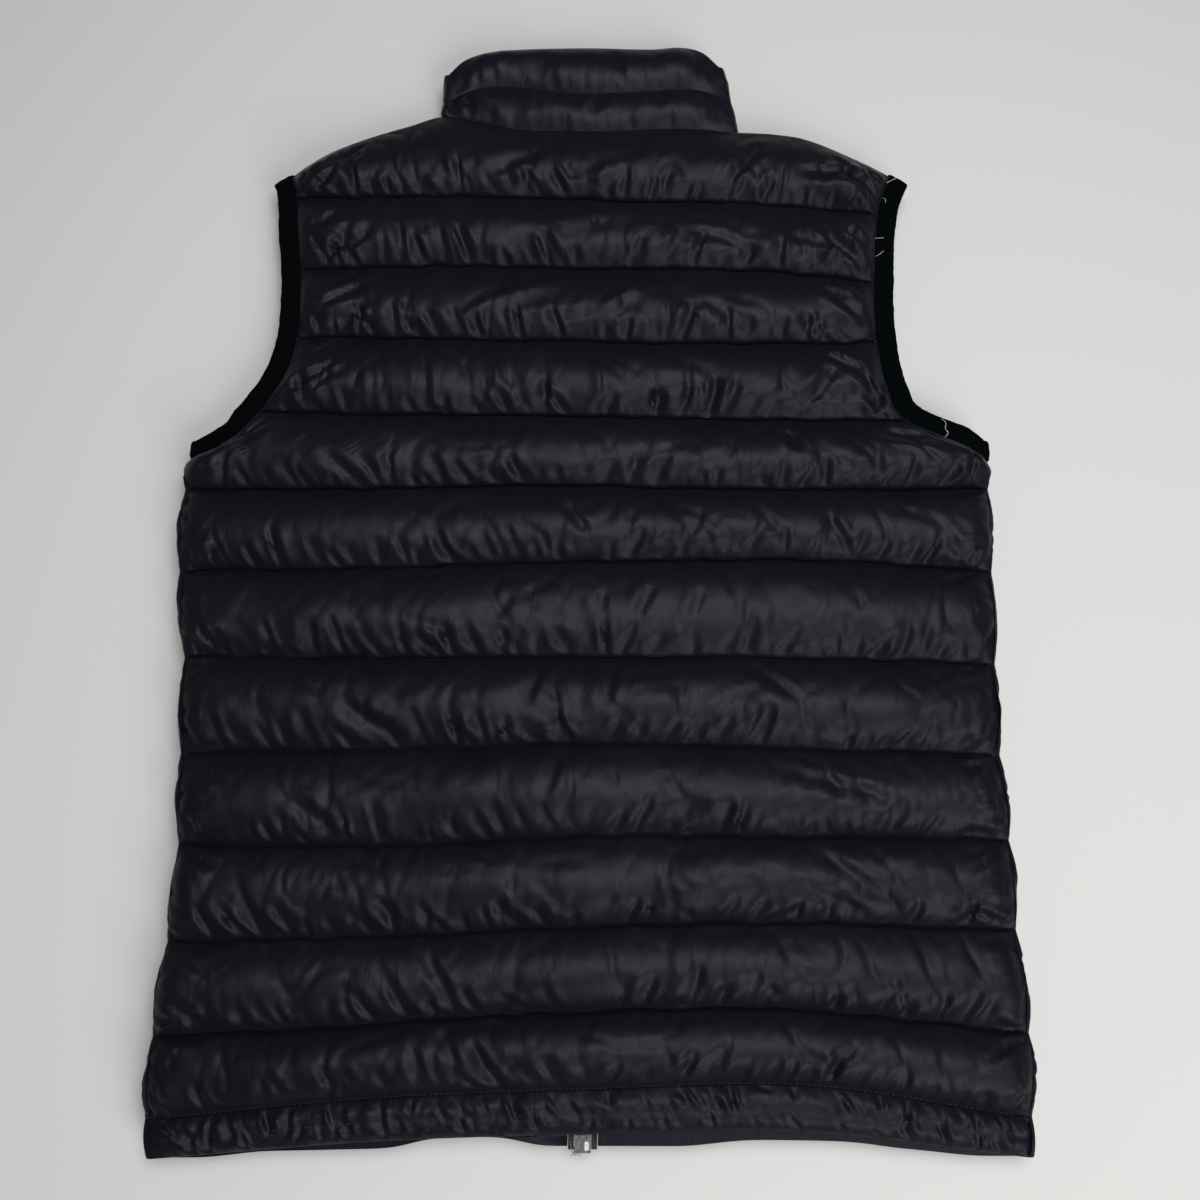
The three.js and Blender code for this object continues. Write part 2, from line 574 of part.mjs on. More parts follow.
// An armhole's knit binding: a flat loop that lies along the back edge, turns over at the shoulder and the
// underarm, and comes back along the front edge. Its section is set across the edge.
function bindingSections(side) {
  const out = side === "left" ? -1 : 1;
  const pathOf = (deeper) => {
    const path = armholeRows.map((row) => {
      const edge = edgeOf(row, side);
      return new THREE.Vector2(edge.x - out * deeper * scoopShare(row, side), edge.y);
    });
    const [before, end] = path.slice(-2);
    end.lerp(before, bindingTurnRoom / end.distanceTo(before));
    return path;
  };
  const slanted = new THREE.Vector2(out * shoulderSlant.across, shoulderSlant.up);
  const across = (path, i) => {
    const last = path.length - 1;
    if (i === last) return new THREE.Vector2(0, 1);
    const along = path[i + 1].clone().sub(path[Math.max(i - 1, 0)]).normalize();
    const square = new THREE.Vector2(-out * along.y, out * along.x);
    return slanted.clone().lerp(square, smoothstep(path[0].y - path[i].y, 0, slantFade)).normalize();
  };
  const profile = [
    [0, 0],
    [0, 0.8],
    [0.12, 1],
    [0.86, 1],
    [1, 0.72],
    [1, 0],
  ];
  const section = (path, i, turn, along) => {
    const direction = across(path, i);
    const corner = path[i].clone().addScaledVector(direction, bindingSeat);
    const width = bindingWidth * (i === path.length - 1 ? underarmBindingShare : 1);
    return profile.map(([share, height]) => {
      const spot = corner.clone().addScaledVector(direction, share * width);
      const radius = bindingFold + height * bindingThickness;
      spot.addScaledVector(along, radius * Math.sin(turn));
      return [spot.x, spot.y, radius * Math.cos(turn)];
    });
  };
  const none = new THREE.Vector2(0, 0);
  const back = pathOf(0);
  const front = pathOf(frontScoop);
  const turns = [45, 90, 135].map(THREE.MathUtils.degToRad);
  const last = back.length - 1;
  const tipAlong = new THREE.Vector2(-out * shoulderSlant.up, shoulderSlant.across);
  const underarmAlong = new THREE.Vector2(out, 0);
  return [
    ...back.map((_, i) => section(back, i, 0, none)),
    ...turns.map((turn) => section(back, last, turn, underarmAlong)),
    ...front.map((_, i) => section(front, last - i, Math.PI, none)),
    ...turns.toReversed().map((turn) => section(back, 0, turn, tipAlong)),
  ];
}

// Zip sizes. The zip lies low enough for its slider to clear the back.
const zipBottom = -348.5;
const zipTop = 305;
const tapeLevel = -4.2;
const tapeThickness = 1.2;
const tapeReach = 8.3; // from the centre line to the tape's sewn edge
const teethReach = 2.8; // half the width of the closed teeth
const teethThickness = 2.6;
const slider = { y: 293, length: 13, width: 9.8, plate: 1.5, clear: 3.5, tapeSlot: 1.9 };
const sliderPost = { length: 4, width: 1.8, sunk: 0.2 };
const teethRoom = 0.6; // between the closed teeth and the slider's side walls
const bridge = { length: 8.4, height: 3.5, wall: 1.2, topWall: 0.85, width: 2.2 };
const hingeDrop = 1.55; // from the slider's plate down to the pull's hinge
const pull = { length: 26, width: 7.4, thickness: 1.3, eye: 5.6, eyeWidth: 3.6, bar: 1.3 };
const pullCorners = { top: 1.4, shoulder: 1.2, tip: 2.5 };
const pullRestDegrees = 17; // the tab's tip rests just above the surface
const pin = { width: 1.6, thickness: 2.2, bottom: -346.6, top: -326 };
const box = { width: 9.2, bottom: -350, top: -340.6, thickness: 4.8, rod: 1.6 };

const wasm = await Module();
wasm.setup();

function toSolid(geometry) {
  const bare = geometry.index ? geometry.toNonIndexed() : geometry.clone();
  bare.deleteAttribute("normal");
  bare.deleteAttribute("uv");
  const merged = mergeVertices(bare, 1e-4);
  const mesh = { numProp: 3, vertProperties: merged.attributes.position.array };
  return new wasm.Manifold(new wasm.Mesh({ ...mesh, triVerts: new Uint32Array(merged.index.array) }));
}

function toGeometry(solid) {
  const mesh = solid.getMesh();
  const geometry = new THREE.BufferGeometry();
  geometry.setAttribute("position", new THREE.BufferAttribute(mesh.vertProperties, 3));
  geometry.setIndex(new THREE.BufferAttribute(mesh.triVerts, 1));
  geometry.computeVertexNormals();
  return geometry;
}

// A block between two corners, optionally grown on every side.
function block(low, high, grow = 0) {
  const size = high.map((value, k) => value - low[k] + 2 * grow);
  const centre = high.map((value, k) => (value + low[k]) / 2);
  return toSolid(new THREE.BoxGeometry(...size).translate(...centre));
}

const sliderAxisLevel = tapeLevel - slider.clear / 2 - slider.plate - hingeDrop;
const pinBlock = (grow) =>
  block(
    [zipX - teethReach - pin.width, pin.bottom, tapeLevel - pin.thickness / 2],
    [zipX - teethReach, pin.top, tapeLevel + pin.thickness / 2],
    grow,
  );
const boxRod = (grow) =>
  block(
    [zipX + teethReach, box.top - 1, tapeLevel - pin.thickness / 2],
    [zipX + teethReach + box.rod, pin.top, tapeLevel + pin.thickness / 2],
    grow,
  );
const boxBody = (grow) =>
  block(
    [zipX - box.width / 2, box.bottom, tapeLevel - box.thickness / 2],
    [zipX + box.width / 2, box.top, tapeLevel + box.thickness / 2],
    grow,
  );
const post = (grow) =>
  block(
    [
      zipX - sliderPost.width / 2,
      slider.y + slider.length / 2 - sliderPost.length,
      tapeLevel - slider.clear / 2 - sliderPost.sunk,
    ],
    [
      zipX + sliderPost.width / 2,
      slider.y + slider.length / 2,
      tapeLevel + slider.clear / 2 + sliderPost.sunk,
    ],
    grow,
  );

function zipTape(out) {
  const inner = zipX + out * halfGap;
  const strip = block(
    [Math.min(inner, zipX + out * tapeReach), zipBottom, tapeLevel - tapeThickness / 2],
    [Math.max(inner, zipX + out * tapeReach), zipTop, tapeLevel + tapeThickness / 2],
  );
  const teethBottom = out < 0 ? pin.top + 2 * halfGap : box.top + 2 * halfGap;
  const teeth = block(
    [Math.min(inner, zipX + out * teethReach), teethBottom, tapeLevel - teethThickness / 2],
    [Math.max(inner, zipX + out * teethReach), slider.y + 1, tapeLevel + teethThickness / 2],
  );
  return [boxBody, pinBlock, boxRod, post].reduce(
    (tape, part) => tape.subtract(part(2 * halfGap)),
    strip.add(teeth),
  );
}

function zipSlider() {
  const half = slider.length / 2;
  const reach = slider.clear / 2 + slider.plate;
  const body = block(
    [zipX - slider.width / 2, slider.y - half, tapeLevel - reach],
    [zipX + slider.width / 2, slider.y + half, tapeLevel + reach],
  );
  const teethWay = block(
    [zipX - teethReach - teethRoom, slider.y - half - 1, tapeLevel - slider.clear / 2],
    [zipX + teethReach + teethRoom, slider.y + half + 1, tapeLevel + slider.clear / 2],
  );
  const tapeWay = block(
    [zipX - slider.width, slider.y - half - 1, tapeLevel - slider.tapeSlot / 2],
    [zipX + slider.width, slider.y + half + 1, tapeLevel + slider.tapeSlot / 2],
  );
  const plateLevel = tapeLevel - reach;
  const arch = block(
    [zipX - bridge.width / 2, slider.y - bridge.length / 2, plateLevel - bridge.height],
    [zipX + bridge.width / 2, slider.y + bridge.length / 2, plateLevel + sliderPost.sunk],
  );
  const holeHalf = bridge.length / 2 - bridge.wall;
  const archHole = block(
    [zipX - bridge.width, slider.y - holeHalf, plateLevel - bridge.height + bridge.topWall],
    [zipX + bridge.width, slider.y + holeHalf, plateLevel],
  );
  return body.subtract(teethWay).subtract(tapeWay).add(post(0)).add(arch.subtract(archHole));
}

// The pull tab about its hinge at the origin, lying along -Y.
function zipPull() {
  const half = pull.thickness / 2;
  const tab = new THREE.Shape();
  const side = pull.width / 2;
  const shoulder = -pull.eye - pullCorners.shoulder;
  tab.moveTo(-side + pullCorners.top, pull.bar / 2);
  tab.lineTo(side - pullCorners.top, pull.bar / 2);
  tab.lineTo(side, shoulder);
  tab.lineTo(side, -pull.length + pullCorners.tip);
  tab.quadraticCurveTo(side, -pull.length, 0, -pull.length);
  tab.quadraticCurveTo(-side, -pull.length, -side, -pull.length + pullCorners.tip);
  tab.lineTo(-side, shoulder);
  const eye = new THREE.Path();
  eye.moveTo(-pull.eyeWidth / 2, -pull.bar / 2);
  eye.lineTo(-pull.eyeWidth / 2, -pull.eye);
  eye.lineTo(pull.eyeWidth / 2, -pull.eye);
  eye.lineTo(pull.eyeWidth / 2, -pull.bar / 2);
  tab.holes.push(eye);
  const settings = { depth: pull.thickness, bevelEnabled: false, curveSegments: 5 };
  return new THREE.ExtrudeGeometry(tab, settings).translate(0, 0, -half);
}

function pieceOf(name, geometry, finish) {
  const piece = new THREE.Mesh(geometry, new THREE.MeshStandardMaterial(finish));
  piece.name = name;
  return piece;
}

const vest = new THREE.Group();
vest.position.z = midLevel;

const everyColumn = backColumns.map((_, column) => column);
const frontLast = frontShares.length + wrapSection.length - 1;
const frontEdge = [...frontShares.keys(), frontLast];

const backPanel = panelGeometry(backSurface(bodyRows, backRise), halfGap, everyColumn);
const backHem = panelGeometry(backSurface(hemRows, hemRise), halfGap, everyColumn);
vest.add(pieceOf("back_panel", backPanel, shellCloth));
vest.add(pieceOf("back_hem", backHem, shellCloth));
for (const side of ["left", "right"]) {
  const panel = panelGeometry(frontSurface(bodyRows, frontRise, side), -halfGap, frontEdge);
  const hem = panelGeometry(frontSurface(hemRows, hemRise, side), -halfGap, frontEdge);
  vest.add(pieceOf(`front_${side}_panel`, panel, shellCloth));
  vest.add(pieceOf(`front_${side}_hem`, hem, shellCloth));
  vest.add(pieceOf(`armhole_binding_${side}`, sweptGeometry(bindingSections(side), true), bindingKnit));
}
vest.add(pieceOf("collar", sweptGeometry(collarStations().map(collarSection), false), shellCloth));
vest.add(pieceOf("zip_tape_left", toGeometry(zipTape(-1)), zipCloth));
vest.add(pieceOf("zip_tape_right", toGeometry(zipTape(1)), zipCloth));
vest.add(pieceOf("zip_slider", toGeometry(zipSlider()), zipMetal));
vest.add(pieceOf("zip_box", toGeometry(boxBody(0).add(boxRod(0)).subtract(pinBlock(2 * halfGap))), zipMetal));
vest.add(pieceOf("zip_pin", toGeometry(pinBlock(0)), zipMetal));

const pullHinge = new THREE.Group();
pullHinge.position.set(zipX, slider.y, sliderAxisLevel);
pullHinge.rotation.x = THREE.MathUtils.degToRad(pullRestDegrees);
pullHinge.add(pieceOf("zip_pull", zipPull(), zipMetal));
vest.add(pullHinge);

const part = new THREE.Group();
part.add(vest);

export default part;
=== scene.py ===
# Quilted puffer vest, zipped up and lying face down on a pale table.
# Sizes in the tables are millimetres in the vest's own frame; meshes are made in metres.
import math
import bmesh
import bpy
import numpy as np
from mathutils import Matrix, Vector


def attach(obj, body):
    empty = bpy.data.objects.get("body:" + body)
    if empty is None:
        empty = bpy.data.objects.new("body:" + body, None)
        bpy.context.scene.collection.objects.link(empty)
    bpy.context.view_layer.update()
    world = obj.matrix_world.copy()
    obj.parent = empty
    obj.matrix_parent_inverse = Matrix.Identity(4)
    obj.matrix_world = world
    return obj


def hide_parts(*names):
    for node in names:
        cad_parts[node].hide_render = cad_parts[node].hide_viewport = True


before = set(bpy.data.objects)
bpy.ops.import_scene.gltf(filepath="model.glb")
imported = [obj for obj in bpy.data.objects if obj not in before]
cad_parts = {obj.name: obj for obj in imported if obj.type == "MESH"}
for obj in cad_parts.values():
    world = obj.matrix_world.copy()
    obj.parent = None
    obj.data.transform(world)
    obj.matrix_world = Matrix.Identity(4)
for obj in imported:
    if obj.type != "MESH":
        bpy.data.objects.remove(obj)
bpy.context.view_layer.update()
mm = 0.001
midLevel = 18.0  # height of the plane where the back and the fronts touch
halfGap = 0.15
scene = bpy.context.scene
print("frame loaded")


# Camera: seen from above, a little toward the hem
cameraSettings = {"x": 8.4, "y": -178.0, "height": 718.0, "tilt": 11.82, "lens": 34.65}
camera = bpy.data.objects.new("camera", bpy.data.cameras.new("camera"))
camera.data.lens = cameraSettings["lens"]
camera.data.sensor_width = 36
camera.data.clip_start = 0.05
camera.location = [cameraSettings[k] * mm for k in ("x", "y", "height")]
camera.rotation_euler = (math.radians(cameraSettings["tilt"]), 0, 0)
scene.collection.objects.link(camera)
scene.camera = camera


# The pattern: quilting seams from the top, the last row being the hem's edge
seams = [
    {"left": 239, "leftQuarter": 241, "middle": 238, "rightQuarter": 236, "right": 229, "zip": 226},
    {"left": 188, "leftQuarter": 191, "middle": 189, "rightQuarter": 188, "right": 180, "zip": 179},
    {"left": 141, "leftQuarter": 140, "middle": 138, "rightQuarter": 136, "right": 138, "zip": 132},
    {"left": 91, "leftQuarter": 88, "middle": 87, "rightQuarter": 85, "right": 84, "zip": 82},
    {"left": 39, "leftQuarter": 39, "middle": 41, "rightQuarter": 38, "right": 39, "zip": 34},
    {"left": -14, "leftQuarter": -12, "middle": -8, "rightQuarter": -7, "right": -14, "zip": -17},
    {"left": -68, "leftQuarter": -69, "middle": -68, "rightQuarter": -69, "right": -72, "zip": -72},
    {"left": -126, "leftQuarter": -124, "middle": -121, "rightQuarter": -124, "right": -127, "zip": -127},
    {"left": -179, "leftQuarter": -180, "middle": -175, "rightQuarter": -175, "right": -177, "zip": -181},
    {"left": -235, "leftQuarter": -232, "middle": -226, "rightQuarter": -224, "right": -228, "zip": -233},
    {"left": -287, "leftQuarter": -280, "middle": -273, "rightQuarter": -273, "right": -285, "zip": -283},
    {"left": -331, "leftQuarter": -320, "middle": -315, "rightQuarter": -313, "right": -330, "zip": -325},
    {"left": -352, "leftQuarter": -343, "middle": -339, "rightQuarter": -338, "right": -351.2, "zip": -349},
]
# Edge of the body: the armholes down to the underarms, then the sides
outline = [
    {"y": 256, "left": -197, "right": 202},
    {"y": 239, "left": -193, "right": 195},
    {"y": 215, "left": -191, "right": 190.5},
    {"y": 190, "left": -188, "right": 188.5},
    {"y": 165, "left": -187, "right": 187},
    {"y": 141, "left": -188, "right": 187.5},
    {"y": 117, "left": -194, "right": 190.5},
    {"y": 100, "left": -203, "right": 195},
    {"y": 90, "left": -210, "right": 199},
    {"y": 80, "left": -218, "right": 211},
    {"y": 72, "left": -225, "right": 229},
    {"y": 65, "left": -237, "right": 242},
    {"y": 56.5, "left": -252.5, "right": 253.4},
    {"y": 39, "left": -253, "right": 252.8},
    {"y": -14, "left": -252.5, "right": 251.4},
    {"y": -69, "left": -245.5, "right": 249.5},
    {"y": -126, "left": -243.5, "right": 248.5},
    {"y": -179, "left": -241, "right": 250.5},
    {"y": -232, "left": -243, "right": 251},
    {"y": -285, "left": -247.5, "right": 254},
    {"y": -330, "left": -248.5, "right": 252.5},
    {"y": -354, "left": -246, "right": 252},
]
# Top edge of the back: left shoulder, neck seam, right shoulder
topEdge = [
    {"x": -197, "y": 256},
    {"x": -173, "y": 273},
    {"x": -146, "y": 285},
    {"x": -122, "y": 293},
    {"x": -97, "y": 301},
    {"x": -73, "y": 296},
    {"x": -46, "y": 290.5},
    {"x": 8, "y": 289},
    {"x": 60, "y": 291},
    {"x": 101, "y": 289},
    {"x": 123, "y": 288},
    {"x": 146, "y": 284},
    {"x": 176, "y": 270},
    {"x": 202, "y": 256},
]
cut = {
    "seamThickness": 3.4,
    "channelCount": 12,
    "underarmChannel": 4,
    "underarmStep": 0.64,
    "sideBulge": 2.2,
    "hemBulge": 0.8,
    "armholeRim": 22.0,
    "sideRim": 15.0,
    "sideSeamInset": 2.6,
    "sideSeamWaver": 2.0,
    "wrapStart": 15.0,
    "puffFlatness": 2.2,
    "puffFullness": 0.95,
    "puffLean": 1.1,  # above 1 the fullest place is nearer the hem
    "sag": 0.08,  # how far the wadding hangs toward the hem, by its height
    "sewnLow": 1.1,  # thickness left under the stitches
    "lip": 1.3,  # the cloth on both sides rolls this much above the seam
    "slit": 0.016,  # share of a channel's height within which it rolls over
}


def mix(a, b, t):
    return a + (b - a) * t


def smoothStep(value, low, high):
    t = np.clip((value - low) / (high - low), 0, 1)
    return t * t * (3 - 2 * t)


def readTable(rows, source, target, at):  # smooth curve through a table's rows
    x = np.array([row[source] for row in rows], float)
    y = np.array([row[target] for row in rows], float)
    if x[0] > x[-1]:
        x, y = x[::-1], y[::-1]
    slope = np.gradient(y)
    slope[1:-1] = (y[2:] - y[:-2]) / (x[2:] - x[:-2])
    slope[0] = (y[1] - y[0]) / (x[1] - x[0])
    slope[-1] = (y[-1] - y[-2]) / (x[-1] - x[-2])
    at = np.clip(at, x[0], x[-1])
    i = np.clip(np.searchsorted(x, at, side="right") - 1, 0, len(x) - 2)
    span = x[i + 1] - x[i]
    t = (at - x[i]) / span
    tangents = slope[i] * (t - 2 * t * t + t ** 3) + slope[i + 1] * (t ** 3 - t * t)
    return mix(y[i], y[i + 1], t * t * (3 - 2 * t)) + span * tangents


def puff(t):  # rounded section of a channel
    t = np.clip(t, 0, 1) ** cut["puffLean"]
    return np.clip(1 - np.abs(2 * t - 1) ** cut["puffFlatness"], 0, 1) ** cut["puffFullness"]


def rim(distance, reach):
    return np.sqrt(np.clip(1 - (1 - np.clip(distance / reach, 0, 1)) ** 2, 0, 1))


def channelSteps(count):  # closer together at the seams, with a narrow slit at each one
    k = np.arange(count - 1) / (count - 2)
    steps = mix(cut["slit"], 1 - cut["slit"], mix(k, (1 - np.cos(np.pi * k)) / 2, 0.4))
    return np.concatenate([[0], steps])


def latticeNoise(x, y, seed):  # smooth noise from 0 to 1, one cell to a unit
    table = np.random.default_rng(seed).random((64, 64))
    xi, yi = np.floor(x).astype(int), np.floor(y).astype(int)
    fx, fy = x - xi, y - yi
    fx, fy = fx * fx * (3 - 2 * fx), fy * fy * (3 - 2 * fy)
    low = mix(table[xi % 64, yi % 64], table[(xi + 1) % 64, yi % 64], fx)
    high = mix(table[xi % 64, (yi + 1) % 64], table[(xi + 1) % 64, (yi + 1) % 64], fx)
    return mix(low, high, fy)


def crumple(points, settings, seed):  # soft facets between sharp creases, in millimetres of depth
    x, y = points[:, 0] / settings["size"], points[:, 1] / settings["size"]
    shiftX = 2.2 * latticeNoise(x * 0.8, y * 0.8, seed)
    shiftY = 2.2 * latticeNoise(x * 0.8 + 9, y * 0.8, seed + 1)
    first = latticeNoise(x + shiftX + 0.5 * y, 0.5 * y + shiftY, seed + 2)
    second = latticeNoise(1.8 * x - shiftY - 0.9 * y, 0.9 * y + shiftX, seed + 3)
    third = latticeNoise(3.3 * x + shiftY, 2.2 * y - shiftX, seed + 4)
    wide = latticeNoise(0.55 * x + shiftY * 0.3, 0.6 * y, seed + 5)
    lines = (1 - np.abs(2 * first - 1)) ** 6 + 0.6 * (1 - np.abs(2 * second - 1)) ** 6
    small = 0.25 * (1 - np.abs(2 * third - 1)) ** 4
    return settings["creases"] * (lines + small) + settings["swell"] * (wide - 0.5)


def makeRows(first, last, count):
    rows = []
    for channel in range(first, last + 1):
        steps = channelSteps(count)
        if channel == cut["underarmChannel"]:
            steps[np.argmin(np.abs(steps - cut["underarmStep"]))] = cut["underarmStep"]
        rows += [(channel, t) for t in steps]
    rows.append((last, 1.0))
    table = []
    for channel, t in rows:
        low = seams[channel]
        if channel > 0:
            top = seams[channel - 1]
        else:
            top = {"left": outline[0]["y"], "right": outline[0]["y"], "zip": low["zip"]}
        row = {place: mix(top[place], low[place], t) for place in ("left", "right", "zip")}
        row["channel"] = channel
        row["t"] = t
        row["onArmhole"] = channel + t <= cut["underarmChannel"] + cut["underarmStep"]
        table.append(row)
    return table


def edgeX(row, side):
    out = -1 if side == "left" else 1
    swell = cut["sideBulge"] if row["channel"] < cut["channelCount"] else cut["hemBulge"]
    below = 0 if row["onArmhole"] else swell * math.sin(math.pi * row["t"])
    return float(readTable(outline, "y", side, row[side])) + out * below


bodySteps = 13
bodyRows = makeRows(0, cut["channelCount"] - 1, bodySteps)
armholeRows = [row for row in bodyRows if row["onArmhole"]]
underarm = armholeRows[-1]


def wrapShare(row, side):  # how far the fronts have begun to wrap round the side
    return float(smoothStep(underarm[side] - row[side], 0, cut["wrapStart"]))


def seamInset(row, side):  # the side seam wanders a little near the silhouette
    waver = float(latticeNoise(np.array([row[side] / 17]), np.array([3.0 if side == "left" else 8.0]), 12)[0])
    return cut["sideSeamInset"] + cut["sideSeamWaver"] * (waver - 0.5)


def scoopShare(row, side):
    down = (armholeRows[0][side] - row[side]) / (armholeRows[0][side] - underarm[side])
    return math.sin(math.pi * min(max(down, 0), 1))


def seamY(index, u):
    seam = seams[index]
    places = ("left", "leftQuarter", "middle", "rightQuarter", "right")
    points = [{"u": k / 4, "y": seam[place]} for k, place in enumerate(places)]
    return readTable(points, "u", "y", u)


# Materials
def newGroup(name, inputs, outputs):
    group = bpy.data.node_groups.new(name, "ShaderNodeTree")
    for label, kind, value in inputs:
        socket = group.interface.new_socket(label, in_out="INPUT", socket_type=kind)
        if value is not None:
            socket.default_value = value
    for label, kind in outputs:
        group.interface.new_socket(label, in_out="OUTPUT", socket_type=kind)
    return group


class Graph:
    def __init__(self, tree):
        self.tree = tree

    def node(self, kind, **settings):
        node = self.tree.nodes.new("ShaderNode" + kind if not kind.startswith("Node") else kind)
        for key, value in settings.items():
            setattr(node, key, value)
        return node

    def link(self, source, target):
        self.tree.links.new(source, target)

    def fill(self, socket, value):
        if hasattr(value, "is_output"):
            self.link(value, socket)
        else:
            socket.default_value = value

    def math(self, operation, a, b=0.0):
        node = self.node("Math", operation=operation)
        self.fill(node.inputs[0], a)
        self.fill(node.inputs[1], b)
        return node.outputs[0]

    def noise(self, vector, scale, detail=2.0, roughness=0.5):
        node = self.node("TexNoise")
        self.link(vector, node.inputs["Vector"])
        node.inputs["Scale"].default_value = scale
        node.inputs["Detail"].default_value = detail
        node.inputs["Roughness"].default_value = roughness
        return node.outputs["Fac"]

    def ramp(self, value, stops):
        node = self.node("ValToRGB")
        self.link(value, node.inputs["Fac"])
        elements = node.color_ramp.elements
        while len(elements) < len(stops):
            elements.new(0.5)
        for element, (place, colour) in zip(elements, stops):
            element.position = place
            element.color = (*colour, 1)
        return node.outputs["Color"]


def weaveGroup():  # plain weave: ribs along the length, finer threads across, slight unevenness
    inputs = [
        ("Vector", "NodeSocketVector", None),
        ("Warp", "NodeSocketFloat", 0.6),
        ("Weft", "NodeSocketFloat", 0.3),
        ("Unevenness", "NodeSocketFloat", 0.5),
    ]
    group = newGroup("weave", inputs, [("Height", "NodeSocketFloat"), ("Threads", "NodeSocketFloat")])
    g = Graph(group)
    given = g.node("NodeGroupInput")
    result = g.node("NodeGroupOutput")
    parts = g.node("SeparateXYZ")
    g.link(given.outputs["Vector"], parts.inputs[0])
    wobble = g.noise(given.outputs["Vector"], 90.0)

    def wave(axis, pitch):
        turns = g.math("DIVIDE", g.math("MULTIPLY", parts.outputs[axis], 2 * math.pi * 1000), pitch)
        shifted = g.math("ADD", turns, g.math("MULTIPLY", wobble, 5.0))
        return g.math("ADD", g.math("MULTIPLY", g.math("SINE", shifted), 0.5), 0.5)

    warp = wave("X", given.outputs["Warp"])
    weft = wave("Y", given.outputs["Weft"])
    threads = g.math("ADD", g.math("MULTIPLY", warp, 0.7), g.math("MULTIPLY", weft, 0.3))
    patch = g.math("MULTIPLY", g.noise(given.outputs["Vector"], 900.0), given.outputs["Unevenness"])
    g.link(g.math("ADD", threads, patch), result.inputs["Height"])
    g.link(threads, result.inputs["Threads"])
    return group


def wrinkleGroup():  # fine soft crumple of cloth over wadding
    inputs = [("Vector", "NodeSocketVector", None), ("Size", "NodeSocketFloat", 60.0)]
    group = newGroup("softWrinkles", inputs, [("Height", "NodeSocketFloat"), ("Mask", "NodeSocketFloat")])
    g = Graph(group)
    given = g.node("NodeGroupInput")
    result = g.node("NodeGroupOutput")
    stretch = g.node("Mapping")
    g.link(given.outputs["Vector"], stretch.inputs["Vector"])
    stretch.inputs["Scale"].default_value = (1.0, 0.45, 0.6)
    noise = g.node("TexNoise")
    g.link(stretch.outputs[0], noise.inputs["Vector"])
    g.link(given.outputs["Size"], noise.inputs["Scale"])
    noise.inputs["Detail"].default_value = 3.0
    noise.inputs["Distortion"].default_value = 0.6
    ridge = g.math("ABSOLUTE", g.math("SUBTRACT", noise.outputs["Fac"], 0.5))
    g.link(g.math("SUBTRACT", 0.5, ridge), result.inputs["Height"])
    g.link(noise.outputs["Fac"], result.inputs["Mask"])
    return group


weave = weaveGroup()
softWrinkles = wrinkleGroup()


def newMaterial(name, base, roughness, metallic=0.0):
    material = bpy.data.materials.new(name)
    material.use_nodes = True
    g = Graph(material.node_tree)
    shader = material.node_tree.nodes["Principled BSDF"]
    shader.inputs["Base Color"].default_value = (*base, 1)
    shader.inputs["Roughness"].default_value = roughness
    shader.inputs["Metallic"].default_value = metallic
    coords = g.node("TexCoord").outputs["Object"]
    return material, g, shader, coords


def placeGroup(g, group, coords, **values):
    node = g.node("Group", node_tree=group)
    g.link(coords, node.inputs["Vector"])
    for key, value in values.items():
        node.inputs[key].default_value = value
    return node


def bump(g, shader, layers):  # layers: (height, distance in millimetres, strength)
    last = None
    for height, distance, strength in layers:
        node = g.node("Bump")
        node.inputs["Strength"].default_value = strength
        node.inputs["Distance"].default_value = distance * mm
        g.link(height, node.inputs["Height"])
        if last:
            g.link(last, node.inputs["Normal"])
        last = node.outputs[0]
    g.link(last, shader.inputs["Normal"])


shellLook = {
    "dark": (0.0027, 0.003, 0.005),
    "light": (0.0048, 0.0053, 0.0078),
    "roughness": 0.42,
    "specular": 0.125,
    "sheen": 0.03,
    "warp": 0.46,
    "weft": 0.3,
}


def makeShell():
    look = shellLook
    material, g, shader, coords = newMaterial("shellNylon", look["dark"], look["roughness"])
    threads = placeGroup(g, weave, coords, Warp=look["warp"], Weft=look["weft"], Unevenness=0.3)
    crumple = placeGroup(g, softWrinkles, coords, Size=52.0)
    blotch = g.noise(coords, 22.0, 3.0)
    woven = g.math("MULTIPLY", threads.outputs["Threads"], 0.45)
    tone = g.math("ADD", woven, g.math("MULTIPLY", blotch, 0.6))
    g.link(g.ramp(tone, [(0.2, look["dark"]), (0.8, look["light"])]), shader.inputs["Base Color"])
    rough = g.math("ADD", look["roughness"] - 0.05, g.math("MULTIPLY", g.noise(coords, 300.0), 0.1))
    g.link(rough, shader.inputs["Roughness"])
    shader.inputs["Specular IOR Level"].default_value = look["specular"]
    shader.inputs["Specular Tint"].default_value = (0.82, 0.88, 1.0, 1)
    shader.inputs["Sheen Weight"].default_value = look["sheen"]
    shader.inputs["Sheen Roughness"].default_value = 0.4
    shader.inputs["Sheen Tint"].default_value = (0.6, 0.66, 0.8, 1)
    layers = [(crumple.outputs["Height"], 1.6, 0.5), (threads.outputs["Height"], 0.04, 0.45)]
    bump(g, shader, layers)
    return material


bindingLook = {"dark": (0.0003, 0.0006, 0.001), "light": (0.0024, 0.0034, 0.0038), "roughness": 0.9}


